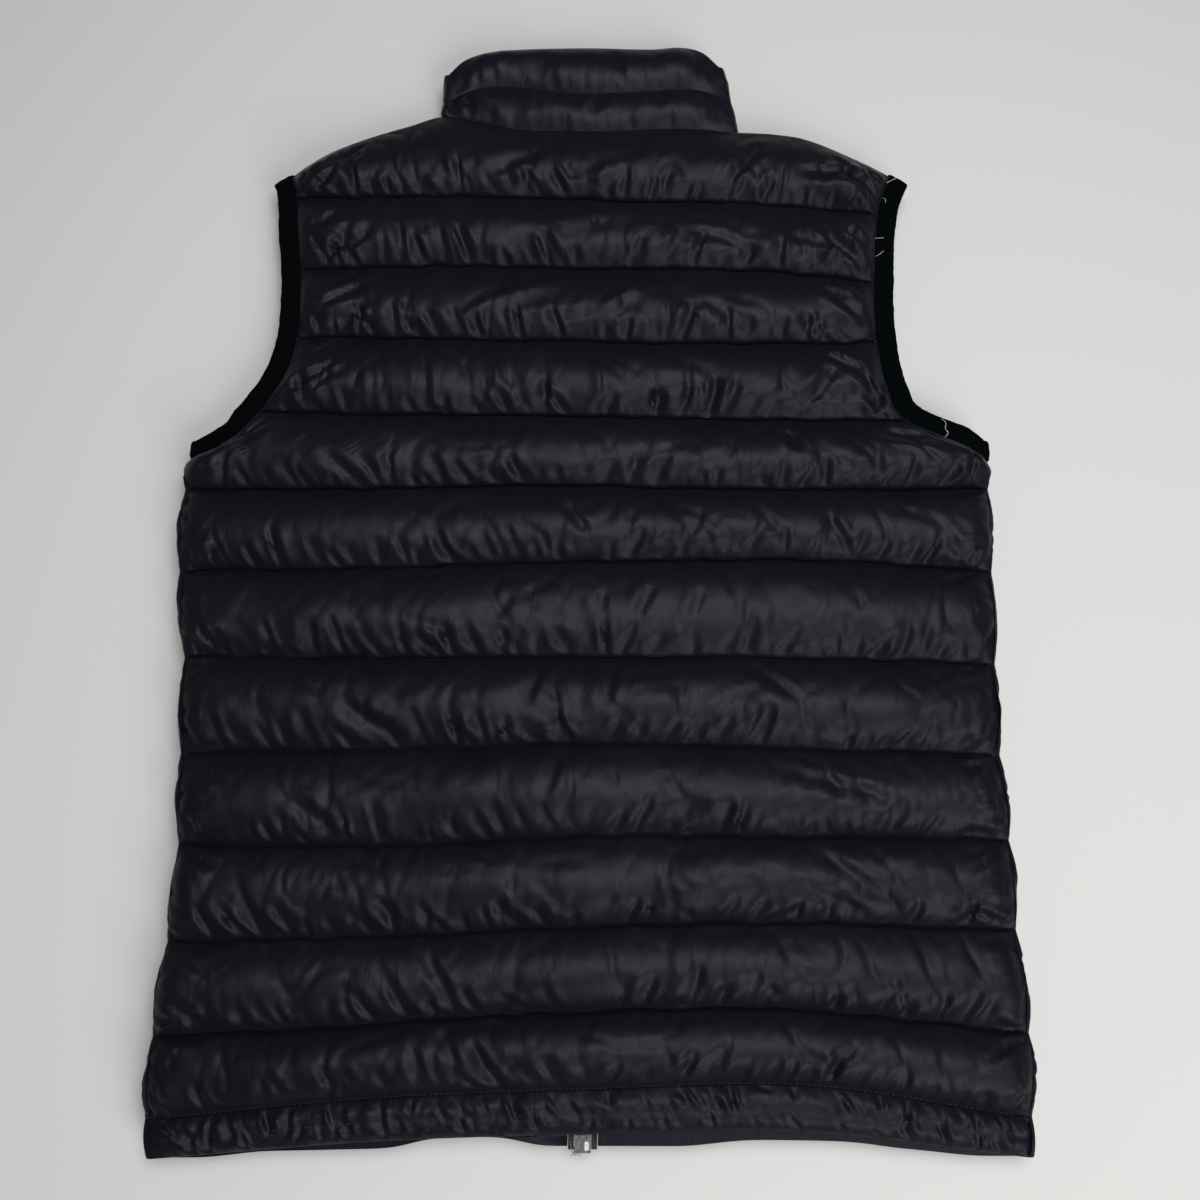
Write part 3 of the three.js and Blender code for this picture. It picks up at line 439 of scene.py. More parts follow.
def makeKnit():
    look = bindingLook
    material, g, shader, coords = newMaterial("bindingKnit", look["dark"], look["roughness"])
    knit = placeGroup(g, weave, coords, Warp=0.95, Weft=0.8, Unevenness=0.7)
    fuzz = g.noise(coords, 1600.0, 3.0)
    tone = g.math("ADD", g.math("MULTIPLY", knit.outputs["Threads"], 0.5), g.math("MULTIPLY", fuzz, 0.5))
    g.link(g.ramp(tone, [(0.25, look["dark"]), (0.8, look["light"])]), shader.inputs["Base Color"])
    g.link(g.math("ADD", 0.78, g.math("MULTIPLY", fuzz, 0.2)), shader.inputs["Roughness"])
    shader.inputs["Specular IOR Level"].default_value = 0.01
    bump(g, shader, [(knit.outputs["Height"], 0.22, 0.7), (fuzz, 0.1, 0.4)])
    return material


def makeTapeCloth():
    material, g, shader, coords = newMaterial("zipTape", (0.012, 0.012, 0.013), 0.8)
    cloth = placeGroup(g, weave, coords, Warp=0.7, Weft=0.45, Unevenness=0.4)
    g.link(g.ramp(cloth.outputs["Threads"], [(0.1, (0.0045, 0.0045, 0.005)), (0.9, (0.011, 0.011, 0.012))]),
           shader.inputs["Base Color"])
    bump(g, shader, [(cloth.outputs["Height"], 0.15, 0.7)])
    return material


def makeThread(name, dark, light):
    material, g, shader, coords = newMaterial(name, dark, 0.6)
    twist = g.node("TexWave")
    twist.bands_direction = "DIAGONAL"
    g.link(coords, twist.inputs["Vector"])
    twist.inputs["Scale"].default_value = 700.0
    twist.inputs["Distortion"].default_value = 1.0
    g.link(g.ramp(twist.outputs["Fac"], [(0.1, dark), (0.9, light)]), shader.inputs["Base Color"])
    bump(g, shader, [(twist.outputs["Fac"], 0.1, 0.6)])
    return material


def makeTeeth():
    material, g, shader, coords = newMaterial("zipTeeth", (0.01, 0.01, 0.011), 0.42)
    cast = g.noise(coords, 700.0, 3.0)
    plastic = g.ramp(cast, [(0.3, (0.008, 0.008, 0.009)), (0.7, (0.015, 0.015, 0.016))])
    g.link(plastic, shader.inputs["Base Color"])
    g.link(g.math("ADD", 0.34, g.math("MULTIPLY", cast, 0.18)), shader.inputs["Roughness"])
    bump(g, shader, [(g.noise(coords, 2200.0), 0.02, 0.4)])
    return material


def makeMetal(name, dark, light):
    material, g, shader, coords = newMaterial(name, light, 0.32, 1.0)
    wear = g.noise(coords, 900.0, 4.0, 0.6)
    g.link(g.ramp(wear, [(0.25, dark), (0.55, light)]), shader.inputs["Base Color"])
    g.link(g.math("ADD", 0.2, g.math("MULTIPLY", wear, 0.3)), shader.inputs["Roughness"])
    bump(g, shader, [(g.noise(coords, 2500.0), 0.02, 0.5)])
    return material


shellNylon = makeShell()
bindingKnit = makeKnit()
zipTapeCloth = makeTapeCloth()
zipTeeth = makeTeeth()
seamThread = makeThread("seamThread", (0.0015, 0.0017, 0.0026), (0.004, 0.0044, 0.006))
looseThread = makeThread("looseThread", (0.35, 0.34, 0.32), (0.7, 0.69, 0.66))
frayedThread = makeThread("frayedThread", (0.06, 0.06, 0.065), (0.2, 0.2, 0.2))
zipNickel = makeMetal("zipNickel", (0.08, 0.08, 0.082), (0.17, 0.17, 0.172))
# Paler copy of the nickel for the box's face: a painted highlight, brighter metal standing in for the glint
# the box catches
paintedGlintNickel = makeMetal("paintedGlintNickel", (0.5, 0.5, 0.5), (0.8, 0.8, 0.79))
print("materials made")


# Mesh helpers
def gridFaces(rowCount, columnCount):
    index = np.arange(rowCount * columnCount).reshape(rowCount, columnCount)
    corners = [index[:-1, :-1], index[1:, :-1], index[1:, 1:], index[:-1, 1:]]
    return np.stack(corners, -1).reshape(-1, 4)


def newMesh(name, points, faces):
    mesh = bpy.data.meshes.new(name)
    mesh.from_pydata((np.asarray(points, float) * mm).tolist(), [], [list(map(int, f)) for f in faces])
    mesh.update()
    return mesh


def newPiece(name, mesh, material, body="vest", sharpAngle=62):
    piece = bpy.data.objects.new(name, mesh)
    scene.collection.objects.link(piece)
    mesh.materials.clear()
    mesh.materials.append(material)
    mesh.shade_smooth()
    mesh.set_sharp_from_angle(angle=math.radians(sharpAngle))
    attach(piece, body)
    return piece


def pointsOf(mesh):
    flat = np.empty(len(mesh.vertices) * 3)
    mesh.vertices.foreach_get("co", flat)
    return flat.reshape(-1, 3) / mm


def normalsOf(mesh):
    flat = np.empty(len(mesh.vertices) * 3)
    mesh.vertices.foreach_get("normal", flat)
    return flat.reshape(-1, 3)


def setPoints(mesh, points):
    mesh.vertices.foreach_set("co", (points * mm).ravel())
    mesh.update()


# Pressure blows each channel up between its sewn lines. The cloth is cut a little larger than the space
# between them, so it puckers on its own.
def inflate(name, grid, sewn, settings):
    rowCount, columnCount = sewn.shape
    mesh = newMesh(name, grid.reshape(-1, 3), gridFaces(rowCount, columnCount))
    sheet = bpy.data.objects.new(name + "Sheet", mesh)
    scene.collection.objects.link(sheet)
    sheet.shape_key_add(name="start", from_mix=False)
    larger = sheet.shape_key_add(name="cut", from_mix=False)
    centre = grid.reshape(-1, 3).mean(0)
    surplus = np.array([settings["surplusAcross"], settings["surplusAlong"], settings["surplusUp"]])
    wanted = (grid.reshape(-1, 3) - centre) * surplus + centre
    uneven = grid.reshape(-1, 3)[:, :2] / 15
    for axis in (0, 1):
        noise = latticeNoise(uneven[:, 0], uneven[:, 1], 70 + axis)
        wanted[:, axis] += settings["unevenness"] * (noise - 0.5)
    larger.data.foreach_set("co", (wanted * mm).ravel())
    group = sheet.vertex_groups.new(name="sewn")
    group.add([int(i) for i in np.flatnonzero(sewn.ravel())], 1.0, "REPLACE")
    cloth = sheet.modifiers.new("cloth", "CLOTH")
    cloth.settings.quality = settings["quality"]
    cloth.settings.mass = settings["mass"]
    cloth.settings.tension_stiffness = settings["stiffness"]
    cloth.settings.compression_stiffness = settings["stiffness"]
    cloth.settings.shear_stiffness = settings["shear"]
    cloth.settings.bending_stiffness = settings["bending"]
    cloth.settings.air_damping = settings["damping"]
    cloth.settings.vertex_group_mass = "sewn"
    cloth.settings.use_pressure = True
    cloth.settings.uniform_pressure_force = settings["pressure"]
    cloth.settings.effector_weights.gravity = 0
    cloth.settings.rest_shape_key = larger
    cloth.collision_settings.use_collision = False
    cloth.collision_settings.use_self_collision = False
    cloth.point_cache.frame_start = 1
    cloth.point_cache.frame_end = settings["frames"]
    for step in range(1, settings["frames"] + 1):
        scene.frame_set(step)
    blown = bpy.data.meshes.new_from_object(sheet.evaluated_get(bpy.context.evaluated_depsgraph_get()))
    moved = pointsOf(blown) - grid.reshape(-1, 3)
    length = np.linalg.norm(moved, axis=1)
    far = np.maximum(length, 1e-9)
    moved *= (np.minimum(length, settings["cap"]) / far)[:, None]
    print(name, "blown up: mean move", round(float(length.mean()), 2), "most", round(float(length.max()), 2))
    bpy.data.objects.remove(sheet)
    plain = newMesh(name, grid.reshape(-1, 3) + moved, gridFaces(rowCount, columnCount))
    scene.frame_set(1)
    return plain


def giveCoordinates(mesh, values):  # place in the pattern (across, along), kept through the subdivision
    layer = mesh.attributes.new("pattern", "FLOAT_VECTOR", "POINT")
    layer.data.foreach_set("vector", np.asarray(values, float).ravel())


def coordinatesOf(mesh):
    layer = mesh.attributes["pattern"]
    flat = np.empty(len(mesh.vertices) * 3)
    layer.data.foreach_get("vector", flat)
    return flat.reshape(-1, 3)


def subdivided(mesh, sharpEdges):  # one subdivision, sharp at the sewn lines
    edges = np.empty(len(mesh.edges) * 2, int)
    mesh.edges.foreach_get("vertices", edges)
    edges = edges.reshape(-1, 2)
    sharp = sharpEdges[edges[:, 0]] & sharpEdges[edges[:, 1]]
    crease = mesh.attributes.new("crease_edge", "FLOAT", "EDGE")
    crease.data.foreach_set("value", sharp.astype(float) * 0.8)
    holder = bpy.data.objects.new("holder", mesh)
    scene.collection.objects.link(holder)
    finer = holder.modifiers.new("finer", "SUBSURF")
    finer.levels = 1
    finer.render_levels = 1
    finer.boundary_smooth = "PRESERVE_CORNERS"
    fine = bpy.data.meshes.new_from_object(holder.evaluated_get(bpy.context.evaluated_depsgraph_get()))
    bpy.data.objects.remove(holder)
    return fine


# Plain inner face. Where an end row turns back round the side, foldEnds says where its inner edge runs
# instead, so that it doesn't cross itself: {place along: (first place across, first X, last X)}.
def closeShell(mesh, level, foldEnds=None):
    bm = bmesh.new()
    bm.from_mesh(mesh)
    pattern = bm.verts.layers.float_vector.get("pattern")
    rimEdges = [edge for edge in bm.edges if edge.is_boundary]
    made = bmesh.ops.extrude_edge_only(bm, edges=rimEdges)["geom"]
    for item in made:
        if isinstance(item, bmesh.types.BMVert):
            item.co.z = level * mm
            for along, (first, startX, endX) in (foldEnds or {}).items():
                if abs(item[pattern].y - along) < 1e-4 and item[pattern].x > first:
                    item.co.x = mix(startX, endX, (item[pattern].x - first) / (1 - first)) * mm
    ring = [item for item in made if isinstance(item, bmesh.types.BMEdge) and item.is_boundary]
    filled = bmesh.ops.holes_fill(bm, edges=ring, sides=0)["faces"]
    bmesh.ops.triangulate(bm, faces=filled, ngon_method="EAR_CLIP")
    bmesh.ops.recalc_face_normals(bm, faces=bm.faces)
    bm.to_mesh(mesh)
    bm.free()


def faceOutward(mesh):
    bm = bmesh.new()
    bm.from_mesh(mesh)
    bmesh.ops.recalc_face_normals(bm, faces=bm.faces)
    bm.to_mesh(mesh)
    bm.free()


def foldField(points, folds):  # how deep the folds lie at each point: troughs with soft raised sides
    depth = np.zeros(len(points))
    for fold in folds:
        start = np.array([fold["startX"], fold["startY"]], float)
        along = np.array([fold["endX"], fold["endY"]], float) - start
        length = math.hypot(*along)
        reach = length / 2 + 3.5 * fold["width"]
        centre = start + along / 2
        near = np.flatnonzero(
            (np.abs(points[:, 0] - centre[0]) < reach) & (np.abs(points[:, 1] - centre[1]) < reach))
        offset = points[near, :2] - start
        s = (offset @ along) / length ** 2
        side = np.array([-along[1], along[0]]) / length
        bow = fold.get("bow", 0.0) * np.sin(np.pi * np.clip(s, 0, 1))
        away = offset @ side - bow
        away = away * np.where(away > 0, fold.get("steep", 1.3), 1 / fold.get("steep", 1.3))
        past = np.maximum(np.maximum(-s, s - 1), 0) * length
        away = np.hypot(away, past * 1.3)
        w = fold["width"] * fold.get("narrow", 1)
        taper = smoothStep(s, -0.1, 0.3) * (1 - smoothStep(s, 0.72, 1.1))
        raised = fold.get("lip", 0.35) * np.exp(-((away - 2.0 * w) / w) ** 2)
        trough = np.exp(-np.abs(away / w) ** 1.05) - raised
        depth[near] += fold["depth"] * taper * trough
    return depth


# Small gathers that fan out from a sewn line toward the given direction
def gathersAlong(line, toward, settings, seed):
    rng = np.random.default_rng(seed)
    toward = (0, toward) if np.isscalar(toward) else toward
    heading = math.atan2(toward[0], toward[1]) + settings.get("turn", 0)
    steps = np.hypot(*np.diff(line[:, :2], axis=0).T)
    reach = np.concatenate([[0], np.cumsum(steps)])
    folds = []
    place = rng.uniform(2, settings["pitch"])
    while place < reach[-1] - 3:
        x = np.interp(place, reach, line[:, 0])
        y = np.interp(place, reach, line[:, 1])
        length = rng.uniform(*settings["length"])
        lean = heading + rng.normal(0, settings["lean"])
        fold = {"startX": x, "startY": y, "endX": x + length * math.sin(lean)}
        fold["endY"] = y + length * math.cos(lean)
        fold["width"] = rng.uniform(*settings["width"])
        fold["depth"] = rng.uniform(*settings["depth"])
        fold["lip"] = 0.6
        fold["steep"] = rng.choice([0.6, 0.75, 1.3, 1.6])
        folds.append(fold)
        place += settings["pitch"] * rng.uniform(0.45, 1.7)
    return folds


# Tight fans of gathers where a quilting seam runs into a side seam
def knotFolds(spot, out, settings, rng):
    folds = []
    for _ in range(settings["count"]):
        lift = rng.uniform(-1, 1)
        x, y = spot[0] + rng.uniform(0, 4) * out, spot[1] + settings["reach"] * lift
        length = rng.uniform(*settings["length"])
        lean = settings["spread"] * lift + rng.normal(0, 0.15)
        fold = {"startX": x, "startY": y, "endX": x + out * length * math.cos(lean)}
        fold["endY"] = y + length * math.sin(lean)
        fold["width"] = rng.uniform(*settings["width"])
        fold["depth"] = rng.uniform(*settings["depth"])
        fold["lip"] = 0.6
        folds.append(fold)
    return folds


# A row of stitches: short rounded threads, each dipping into the cloth at both ends
def stitchRow(line, normal, settings, phase=0.0):
    steps = np.linalg.norm(np.diff(line, axis=0), axis=1)
    reach = np.concatenate([[0], np.cumsum(steps)])
    points, faces = [], []
    sides = 5
    place = settings["pitch"] * (0.3 + phase)
    while place + settings["length"] < reach[-1]:
        ends = [np.array([np.interp(place + s * settings["length"], reach, line[:, k]) for k in range(3)])
                for s in (0, 0.25, 0.75, 1)]
        along = ends[-1] - ends[0]
        along = along / max(np.linalg.norm(along), 1e-6)
        across = np.cross(normal, along)
        across = across / max(np.linalg.norm(across), 1e-6)
        upward = np.cross(along, across)
        first = len(points)
        for centre, lift, size in zip(ends, (-0.5, 0.55, 0.55, -0.5), (0.6, 1, 1, 0.6)):
            for k in range(sides):
                turn = 2 * math.pi * k / sides
                r = settings["radius"] * size
                points.append(centre + upward * (lift * settings["radius"] + r * math.sin(turn))
                              + across * r * math.cos(turn))
        for ring in range(3):
            for k in range(sides):
                a = first + ring * sides + k
                b = first + ring * sides + (k + 1) % sides
                faces.append([a, b, b + sides, a + sides])
        faces.append([first + k for k in range(sides)][::-1])
        faces.append([first + 3 * sides + k for k in range(sides)])
        place += settings["pitch"]
    return points, faces


def joinRows(rows):
    points, faces = [], []
    for rowPoints, rowFaces in rows:
        first = len(points)
        points += list(rowPoints)
        faces += [[i + first for i in face] for face in rowFaces]
    return points, faces


# Back panel
back = {
    "columns": 142,
    "rise": 12.6,
    "startShare": 0.9,
    "waver": 2.2,
    "crumple": {"size": 27.0, "creases": 1.3, "swell": 3.6},
    "cloth": {
        "surplusAcross": 1.015, "surplusAlong": 1.0, "surplusUp": 1.1, "quality": 5, "mass": 0.3,
        "stiffness": 15.0, "shear": 5.0, "bending": 0.15, "damping": 1.0, "pressure": 4.0, "frames": 20,
        "unevenness": 3.0, "cap": 6.0,
    },
    "gathers": {"pitch": 17.0, "length": (5, 15), "width": (1.3, 2.4), "depth": (0.3, 1.3), "lean": 0.6},
    "lowGathers": {"pitch": 11.0, "length": (8, 26), "width": (1.7, 3.2), "depth": (1.0, 3.8), "lean": 0.3},
    "lowTurn": 0.55,  # leftward on the left half, rightward on the right
    "edgeGathers": {"pitch": 9.0, "length": (20, 52), "width": (1.8, 3.2), "depth": (1.6, 4.0), "lean": 0.28},
    "sideGathers": {"pitch": 9.0, "length": (6, 22), "width": (1.6, 2.6), "depth": (0.6, 2.0), "lean": 0.4},
    "knots": {
        "count": 5, "length": (8, 30), "width": (1.7, 2.6), "depth": (1.0, 2.8), "spread": 0.5, "reach": 4.5,
    },
    "edgeStart": 10.0,
    "sideShare": 0.42,  # how full the cloth still is at the side seam
    "crimps": {"pitch": 5.0, "length": (2.5, 6), "width": (1.4, 2.2), "depth": (0.3, 1.0), "lean": 0.6},
    "foldWidth": 0.62,
    "stitch": {"pitch": 3.2, "length": 2.4, "radius": 0.2},
}
backFolds = [
    {"startX": -2, "startY": 282, "endX": -71, "endY": 249, "width": 6, "depth": 2.0},
    {"startX": 42, "startY": 271, "endX": -57, "endY": 234, "width": 7, "depth": 1.3},
    {"startX": 121, "startY": 276, "endX": 93, "endY": 247, "width": 5, "depth": 2.6},
    {"startX": 167, "startY": 259, "endX": 195, "endY": 234, "width": 5, "depth": 2.4},
    {"startX": 178, "startY": 262, "endX": 198, "endY": 244, "width": 4, "depth": 1.6},
    {"startX": -122, "startY": 223, "endX": -121, "endY": 190, "width": 5, "depth": 1.4},
    {"startX": -138, "startY": 214, "endX": -157, "endY": 198, "width": 5, "depth": 2.6},
    {"startX": -37, "startY": 211, "endX": 35, "endY": 225, "width": 6, "depth": -1.8, "bow": 4},
    {"startX": 61, "startY": 212, "endX": 112, "endY": 195, "width": 6, "depth": 2.4, "bow": 3},
    {"startX": 152, "startY": 216, "endX": 183, "endY": 184, "width": 6, "depth": 1.8},
    {"startX": -94, "startY": 142, "endX": -17, "endY": 177, "width": 6, "depth": -2.0, "bow": 5},
    {"startX": -43, "startY": 149, "endX": 8, "endY": 156, "width": 5, "depth": 1.4},
    {"startX": 8, "startY": 156, "endX": 34, "endY": 174, "width": 5, "depth": -1.6},
    {"startX": 73, "startY": 163, "endX": 111, "endY": 142, "width": 6, "depth": 1.8},
    {"startX": 149, "startY": 149, "endX": 181, "endY": 132, "width": 5, "depth": 2.8},
    {"startX": -141, "startY": 124, "endX": -139, "endY": 95, "width": 4.5, "depth": -1.2},
    {"startX": -103, "startY": 125, "endX": -100, "endY": 92, "width": 4.5, "depth": 1.6},
    {"startX": -57, "startY": 124, "endX": -58, "endY": 94, "width": 4.5, "depth": -1.2},
    {"startX": -27, "startY": 123, "endX": -25, "endY": 93, "width": 4, "depth": 1.2},
    {"startX": 7, "startY": 124, "endX": 9, "endY": 92, "width": 4.5, "depth": -1.1},
    {"startX": 65, "startY": 122, "endX": 63, "endY": 90, "width": 4.5, "depth": 1.3},
    {"startX": 161, "startY": 119, "endX": 134, "endY": 85, "width": 5, "depth": 2.6},
    {"startX": -212, "startY": 78, "endX": -210, "endY": 52, "width": 4, "depth": 1.6},
    {"startX": -176, "startY": 72, "endX": -175, "endY": 55, "width": 4, "depth": 1.4},
    {"startX": -164, "startY": 62, "endX": -141, "endY": 41, "width": 5, "depth": 3.0},
    {"startX": -63, "startY": 50, "endX": -54, "endY": 42, "width": 4, "depth": 1.6},
    {"startX": 125, "startY": 78, "endX": 135, "endY": 62, "width": 5, "depth": 3.0},
    {"startX": 181, "startY": 68, "endX": 183, "endY": 49, "width": 4, "depth": 1.5},
    {"startX": -13, "startY": 29, "endX": 2, "endY": 7, "width": 4.5, "depth": 2.2},
    {"startX": 30, "startY": 23, "endX": 24, "endY": 4, "width": 4.5, "depth": 1.6},
    {"startX": 73, "startY": 23, "endX": 64, "endY": 4, "width": 4.5, "depth": 1.6},
    {"startX": 104, "startY": 29, "endX": 119, "endY": 7, "width": 5, "depth": 1.8},
    {"startX": 148, "startY": 22, "endX": 165, "endY": -9, "width": 5, "depth": 2.8},
    {"startX": -43, "startY": -31, "endX": -55, "endY": -46, "width": 4.5, "depth": 1.6},
    {"startX": -16, "startY": -18, "endX": -40, "endY": -34, "width": 4.5, "depth": 1.4},
    {"startX": 11, "startY": -28, "endX": 10, "endY": -42, "width": 4, "depth": 1.5},
    {"startX": 42, "startY": -25, "endX": 31, "endY": -45, "width": 4.5, "depth": 2.0},
    {"startX": 72, "startY": -27, "endX": 64, "endY": -46, "width": 4.5, "depth": 1.6},
    {"startX": 164, "startY": -28, "endX": 168, "endY": -40, "width": 4, "depth": 1.4},
    {"startX": -25, "startY": -71, "endX": -36, "endY": -98, "width": 5, "depth": 1.5},
    {"startX": 20, "startY": -71, "endX": 11, "endY": -101, "width": 5, "depth": 1.5},
    {"startX": 99, "startY": -71, "endX": 128, "endY": -95, "width": 5, "depth": 2.2},
    {"startX": -147, "startY": -95, "endX": -116, "endY": -116, "width": 7, "depth": 3.8},
    {"startX": -152, "startY": -110, "endX": -140, "endY": -122, "width": 4, "depth": 1.8},
    {"startX": -15, "startY": -128, "endX": -24, "endY": -154, "width": 5, "depth": 1.5},
    {"startX": 17, "startY": -137, "endX": 17, "endY": -148, "width": 4, "depth": 1.3},
    {"startX": 139, "startY": -128, "endX": 152, "endY": -154, "width": 5, "depth": 1.6},
    {"startX": -168, "startY": -154, "endX": -143, "endY": -177, "width": 6, "depth": 3.4},
    {"startX": 109, "startY": -134, "endX": 185, "endY": -154, "width": 6, "depth": 1.9},
    {"startX": -121, "startY": -211, "endX": -107, "endY": -222, "width": 5, "depth": 3.6},
    {"startX": -145, "startY": -200, "endX": -139, "endY": -205, "width": 4, "depth": 1.8},
    {"startX": 137, "startY": -183, "endX": 179, "endY": -214, "width": 6, "depth": 2.4},
    {"startX": 118, "startY": -200, "endX": 164, "endY": -219, "width": 5, "depth": 1.8},
    {"startX": -199, "startY": -211, "endX": -175, "endY": -233, "width": 5, "depth": 2.0},
    {"startX": -92, "startY": -239, "endX": -74, "endY": -266, "width": 5, "depth": 2.2},
    {"startX": -139, "startY": -258, "endX": -125, "endY": -266, "width": 4, "depth": 1.8},
    {"startX": 88, "startY": -258, "endX": 74, "endY": -266, "width": 4.5, "depth": 1.7},
    {"startX": -236, "startY": -266, "endX": -212, "endY": -282, "width": 5, "depth": 3.0},
    {"startX": -65, "startY": -287, "endX": -47, "endY": -314, "width": 5, "depth": 3.6},
    {"startX": -82, "startY": -282, "endX": -70, "endY": -301, "width": 4.5, "depth": 1.8},
    {"startX": -99, "startY": -287, "endX": -90, "endY": -306, "width": 4.5, "depth": 1.8},
    {"startX": -137, "startY": -301, "endX": -126, "endY": -314, "width": 4.5, "depth": 2.0},
    {"startX": 82, "startY": -290, "endX": 64, "endY": -309, "width": 4.5, "depth": 2.0},
    {"startX": 155, "startY": -287, "endX": 131, "endY": -311, "width": 5, "depth": 3.0},
    {"startX": -179, "startY": -303, "endX": -170, "endY": -314, "width": 4.5, "depth": 2.0},
]


def backGrid(rows, columns, rise):
    k = np.linspace(0, 1, columns)
    u = mix(k, (1 - np.cos(np.pi * k)) / 2, 0.3)
    topX = mix(topEdge[0]["x"], topEdge[-1]["x"], u)
    grid = np.zeros((len(rows), columns, 3))
    for r, row in enumerate(rows):
        leftX = edgeX(row, "left") + seamInset(row, "left") * wrapShare(row, "left") + halfGap
        rightX = edgeX(row, "right") - seamInset(row, "right") * wrapShare(row, "right") - halfGap
        x = mix(leftX, rightX, u)
        upper = seamY(row["channel"] - 1, u) if row["channel"] > 0 else readTable(topEdge, "x", "y", topX)
        endGap = -halfGap if r == 0 else halfGap if r == len(rows) - 1 else 0
        y = mix(upper, seamY(row["channel"], u), row["t"]) + endGap
        reach = cut["armholeRim"] if row["onArmhole"] else cut["sideRim"]
        away = np.minimum(x - leftX, rightX - x)
        kept = back["sideShare"] * wrapShare(row, "left") if row["channel"] < cut["channelCount"] else 0
        # gentler at the side seam than at the armhole
        turned = np.sin(np.pi / 2 * np.clip(away / reach, 0, 1))
        full = rise * puff(row["t"]) * mix(kept, 1, mix(rim(away, reach), turned, min(1, 3 * kept)))
        onSeam = row["t"] in (0, 1.0) and 0 < r < len(rows) - 1
        lip = (cut["sewnLow"] - cut["seamThickness"] if onSeam else cut["lip"]) * rim(away, 12.0)
        if row["channel"] == cut["channelCount"] or r in (0, len(rows) - 1):
            lip = 0
        level = cut["seamThickness"] + full + lip
        waveShare = 1 - abs(2 * row["t"] - 1)
        seam = row["channel"] + round(row["t"])
        waver = (latticeNoise(x / 14 + 40, np.full_like(x, 3.7 * seam), 11) - 0.5) * (1 - waveShare)
        y = y - cut["sag"] * full + back["waver"] * waver * (0 < seam < cut["channelCount"])
        grid[r] = np.stack([x, y, midLevel + level], -1)
    return grid, u


def sewnMask(rows, columns):
    onSeam = np.array([row["t"] in (0, 1.0, cut["slit"], 1 - cut["slit"]) for row in rows])
    mask = np.repeat(onSeam[:, None], columns, 1)
    mask[:, 0] = True
    mask[:, -1] = True
    mask[0] = True
    mask[-1] = True
    return mask


def patternValues(rows, across):
    along = np.array([row["channel"] + row["t"] for row in rows])
    a, b = np.meshgrid(across, along)
    return np.stack([a, b, np.zeros_like(a)], -1).reshape(-1, 3)


def makeBack():
    grid, u = backGrid(bodyRows, back["columns"], back["rise"] * back["startShare"])
    sewn = sewnMask(bodyRows, back["columns"])
    mesh = inflate("backPanel", grid, sewn, back["cloth"])
    giveCoordinates(mesh, patternValues(bodyRows, u))
    mesh = subdivided(mesh, sewn.ravel())
    points = pointsOf(mesh)
    place = coordinatesOf(mesh)
    channelShare = place[:, 1] % 1
    sewnFade = np.clip(puff(channelShare), 0, 1)
    lines = [row for row in grid[[i for i, r in enumerate(bodyRows) if r["t"] in (0, 1.0)]]]
    gathers = []
    for index, line in enumerate(lines):
        if index > 0:
            middle = len(line) // 2
            low, turn = back["lowGathers"], back["lowTurn"]
            gathers += gathersAlong(line[:middle], 1, dict(low, turn=-turn), 20 + index)
            gathers += gathersAlong(line[middle:], 1, dict(low, turn=turn), 40 + index)
            gathers += gathersAlong(line, 1, back["crimps"], 220 + index)
        if index < len(lines) - 1:
            gathers += gathersAlong(line, -1, back["gathers"], 60 + index)
    onArmhole = [i for i, row in enumerate(bodyRows) if row["onArmhole"]]
    start = np.array([back["edgeStart"], 0, 0])
    gathers += gathersAlong(grid[onArmhole, 0] + start, (1, 0.6), back["edgeGathers"], 7)
    gathers += gathersAlong(grid[onArmhole, -1] - start, (-1, 0.5), back["edgeGathers"], 8)
    rng = np.random.default_rng(64)
    for line in lines[cut["underarmChannel"] + 1:-1]:
        gathers += knotFolds(line[0], 1, back["knots"], rng) + knotFolds(line[-1], -1, back["knots"], rng)
    gathers += gathersAlong(grid[onArmhole[-1]:, 0], (1, 0), back["sideGathers"], 9)
    gathers += gathersAlong(grid[onArmhole[-1]:, -1], (-1, 0), back["sideGathers"], 10)
    narrowed = [dict(fold, narrow=back["foldWidth"]) for fold in backFolds]
    down = foldField(points, narrowed) + foldField(points, gathers) * 0.8
    down += crumple(points, back["crumple"], 31)
    points[:, 2] -= down * np.sqrt(sewnFade)
    points[:, 2] = np.maximum(points[:, 2], midLevel + cut["sewnLow"])
    setPoints(mesh, points)
    closeShell(mesh, midLevel + halfGap)
    piece = newPiece("quilted_back", mesh, shellNylon)
    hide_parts("back_panel")
    rows = [stitchRow(line[2:-2] + [0, 0, 0.1], (0, 0, 1), back["stitch"], 0.1 * i)
            for i, line in enumerate(lines[1:])]
    stitches = newPiece("back_stitches", newMesh("backStitches", *joinRows(rows)), seamThread)
    return piece


makeBack()
print("back made")


# Hem tube of the back
backHem = {
    "columns": 220,
    "rise": 5.2,
    "rows": 10,
    "stitchShare": 0.52,
    "gathers": {
        "pitch": 13.0, "length": (8, 17), "width": (1.4, 2.4), "depth": (0.8, 2.4), "lean": 0.35, "turn": -0.5,
    },
    "lowGathers": {
        "pitch": 15.0, "length": (5, 14), "width": (1.2, 2.2), "depth": (0.6, 2.0), "lean": 0.4, "turn": -0.5,
    },
    "crumple": {"size": 14.0, "creases": 0.8, "swell": 1.4},
    "stitch": {"pitch": 3.0, "length": 2.2, "radius": 0.22},
}
hemRows = makeRows(cut["channelCount"], cut["channelCount"], backHem["rows"])


def hemProfile(t, stitchShare):  # the tube dips at its edge stitch
    return 1 - 0.3 * np.exp(-((t - stitchShare) / 0.06) ** 2)


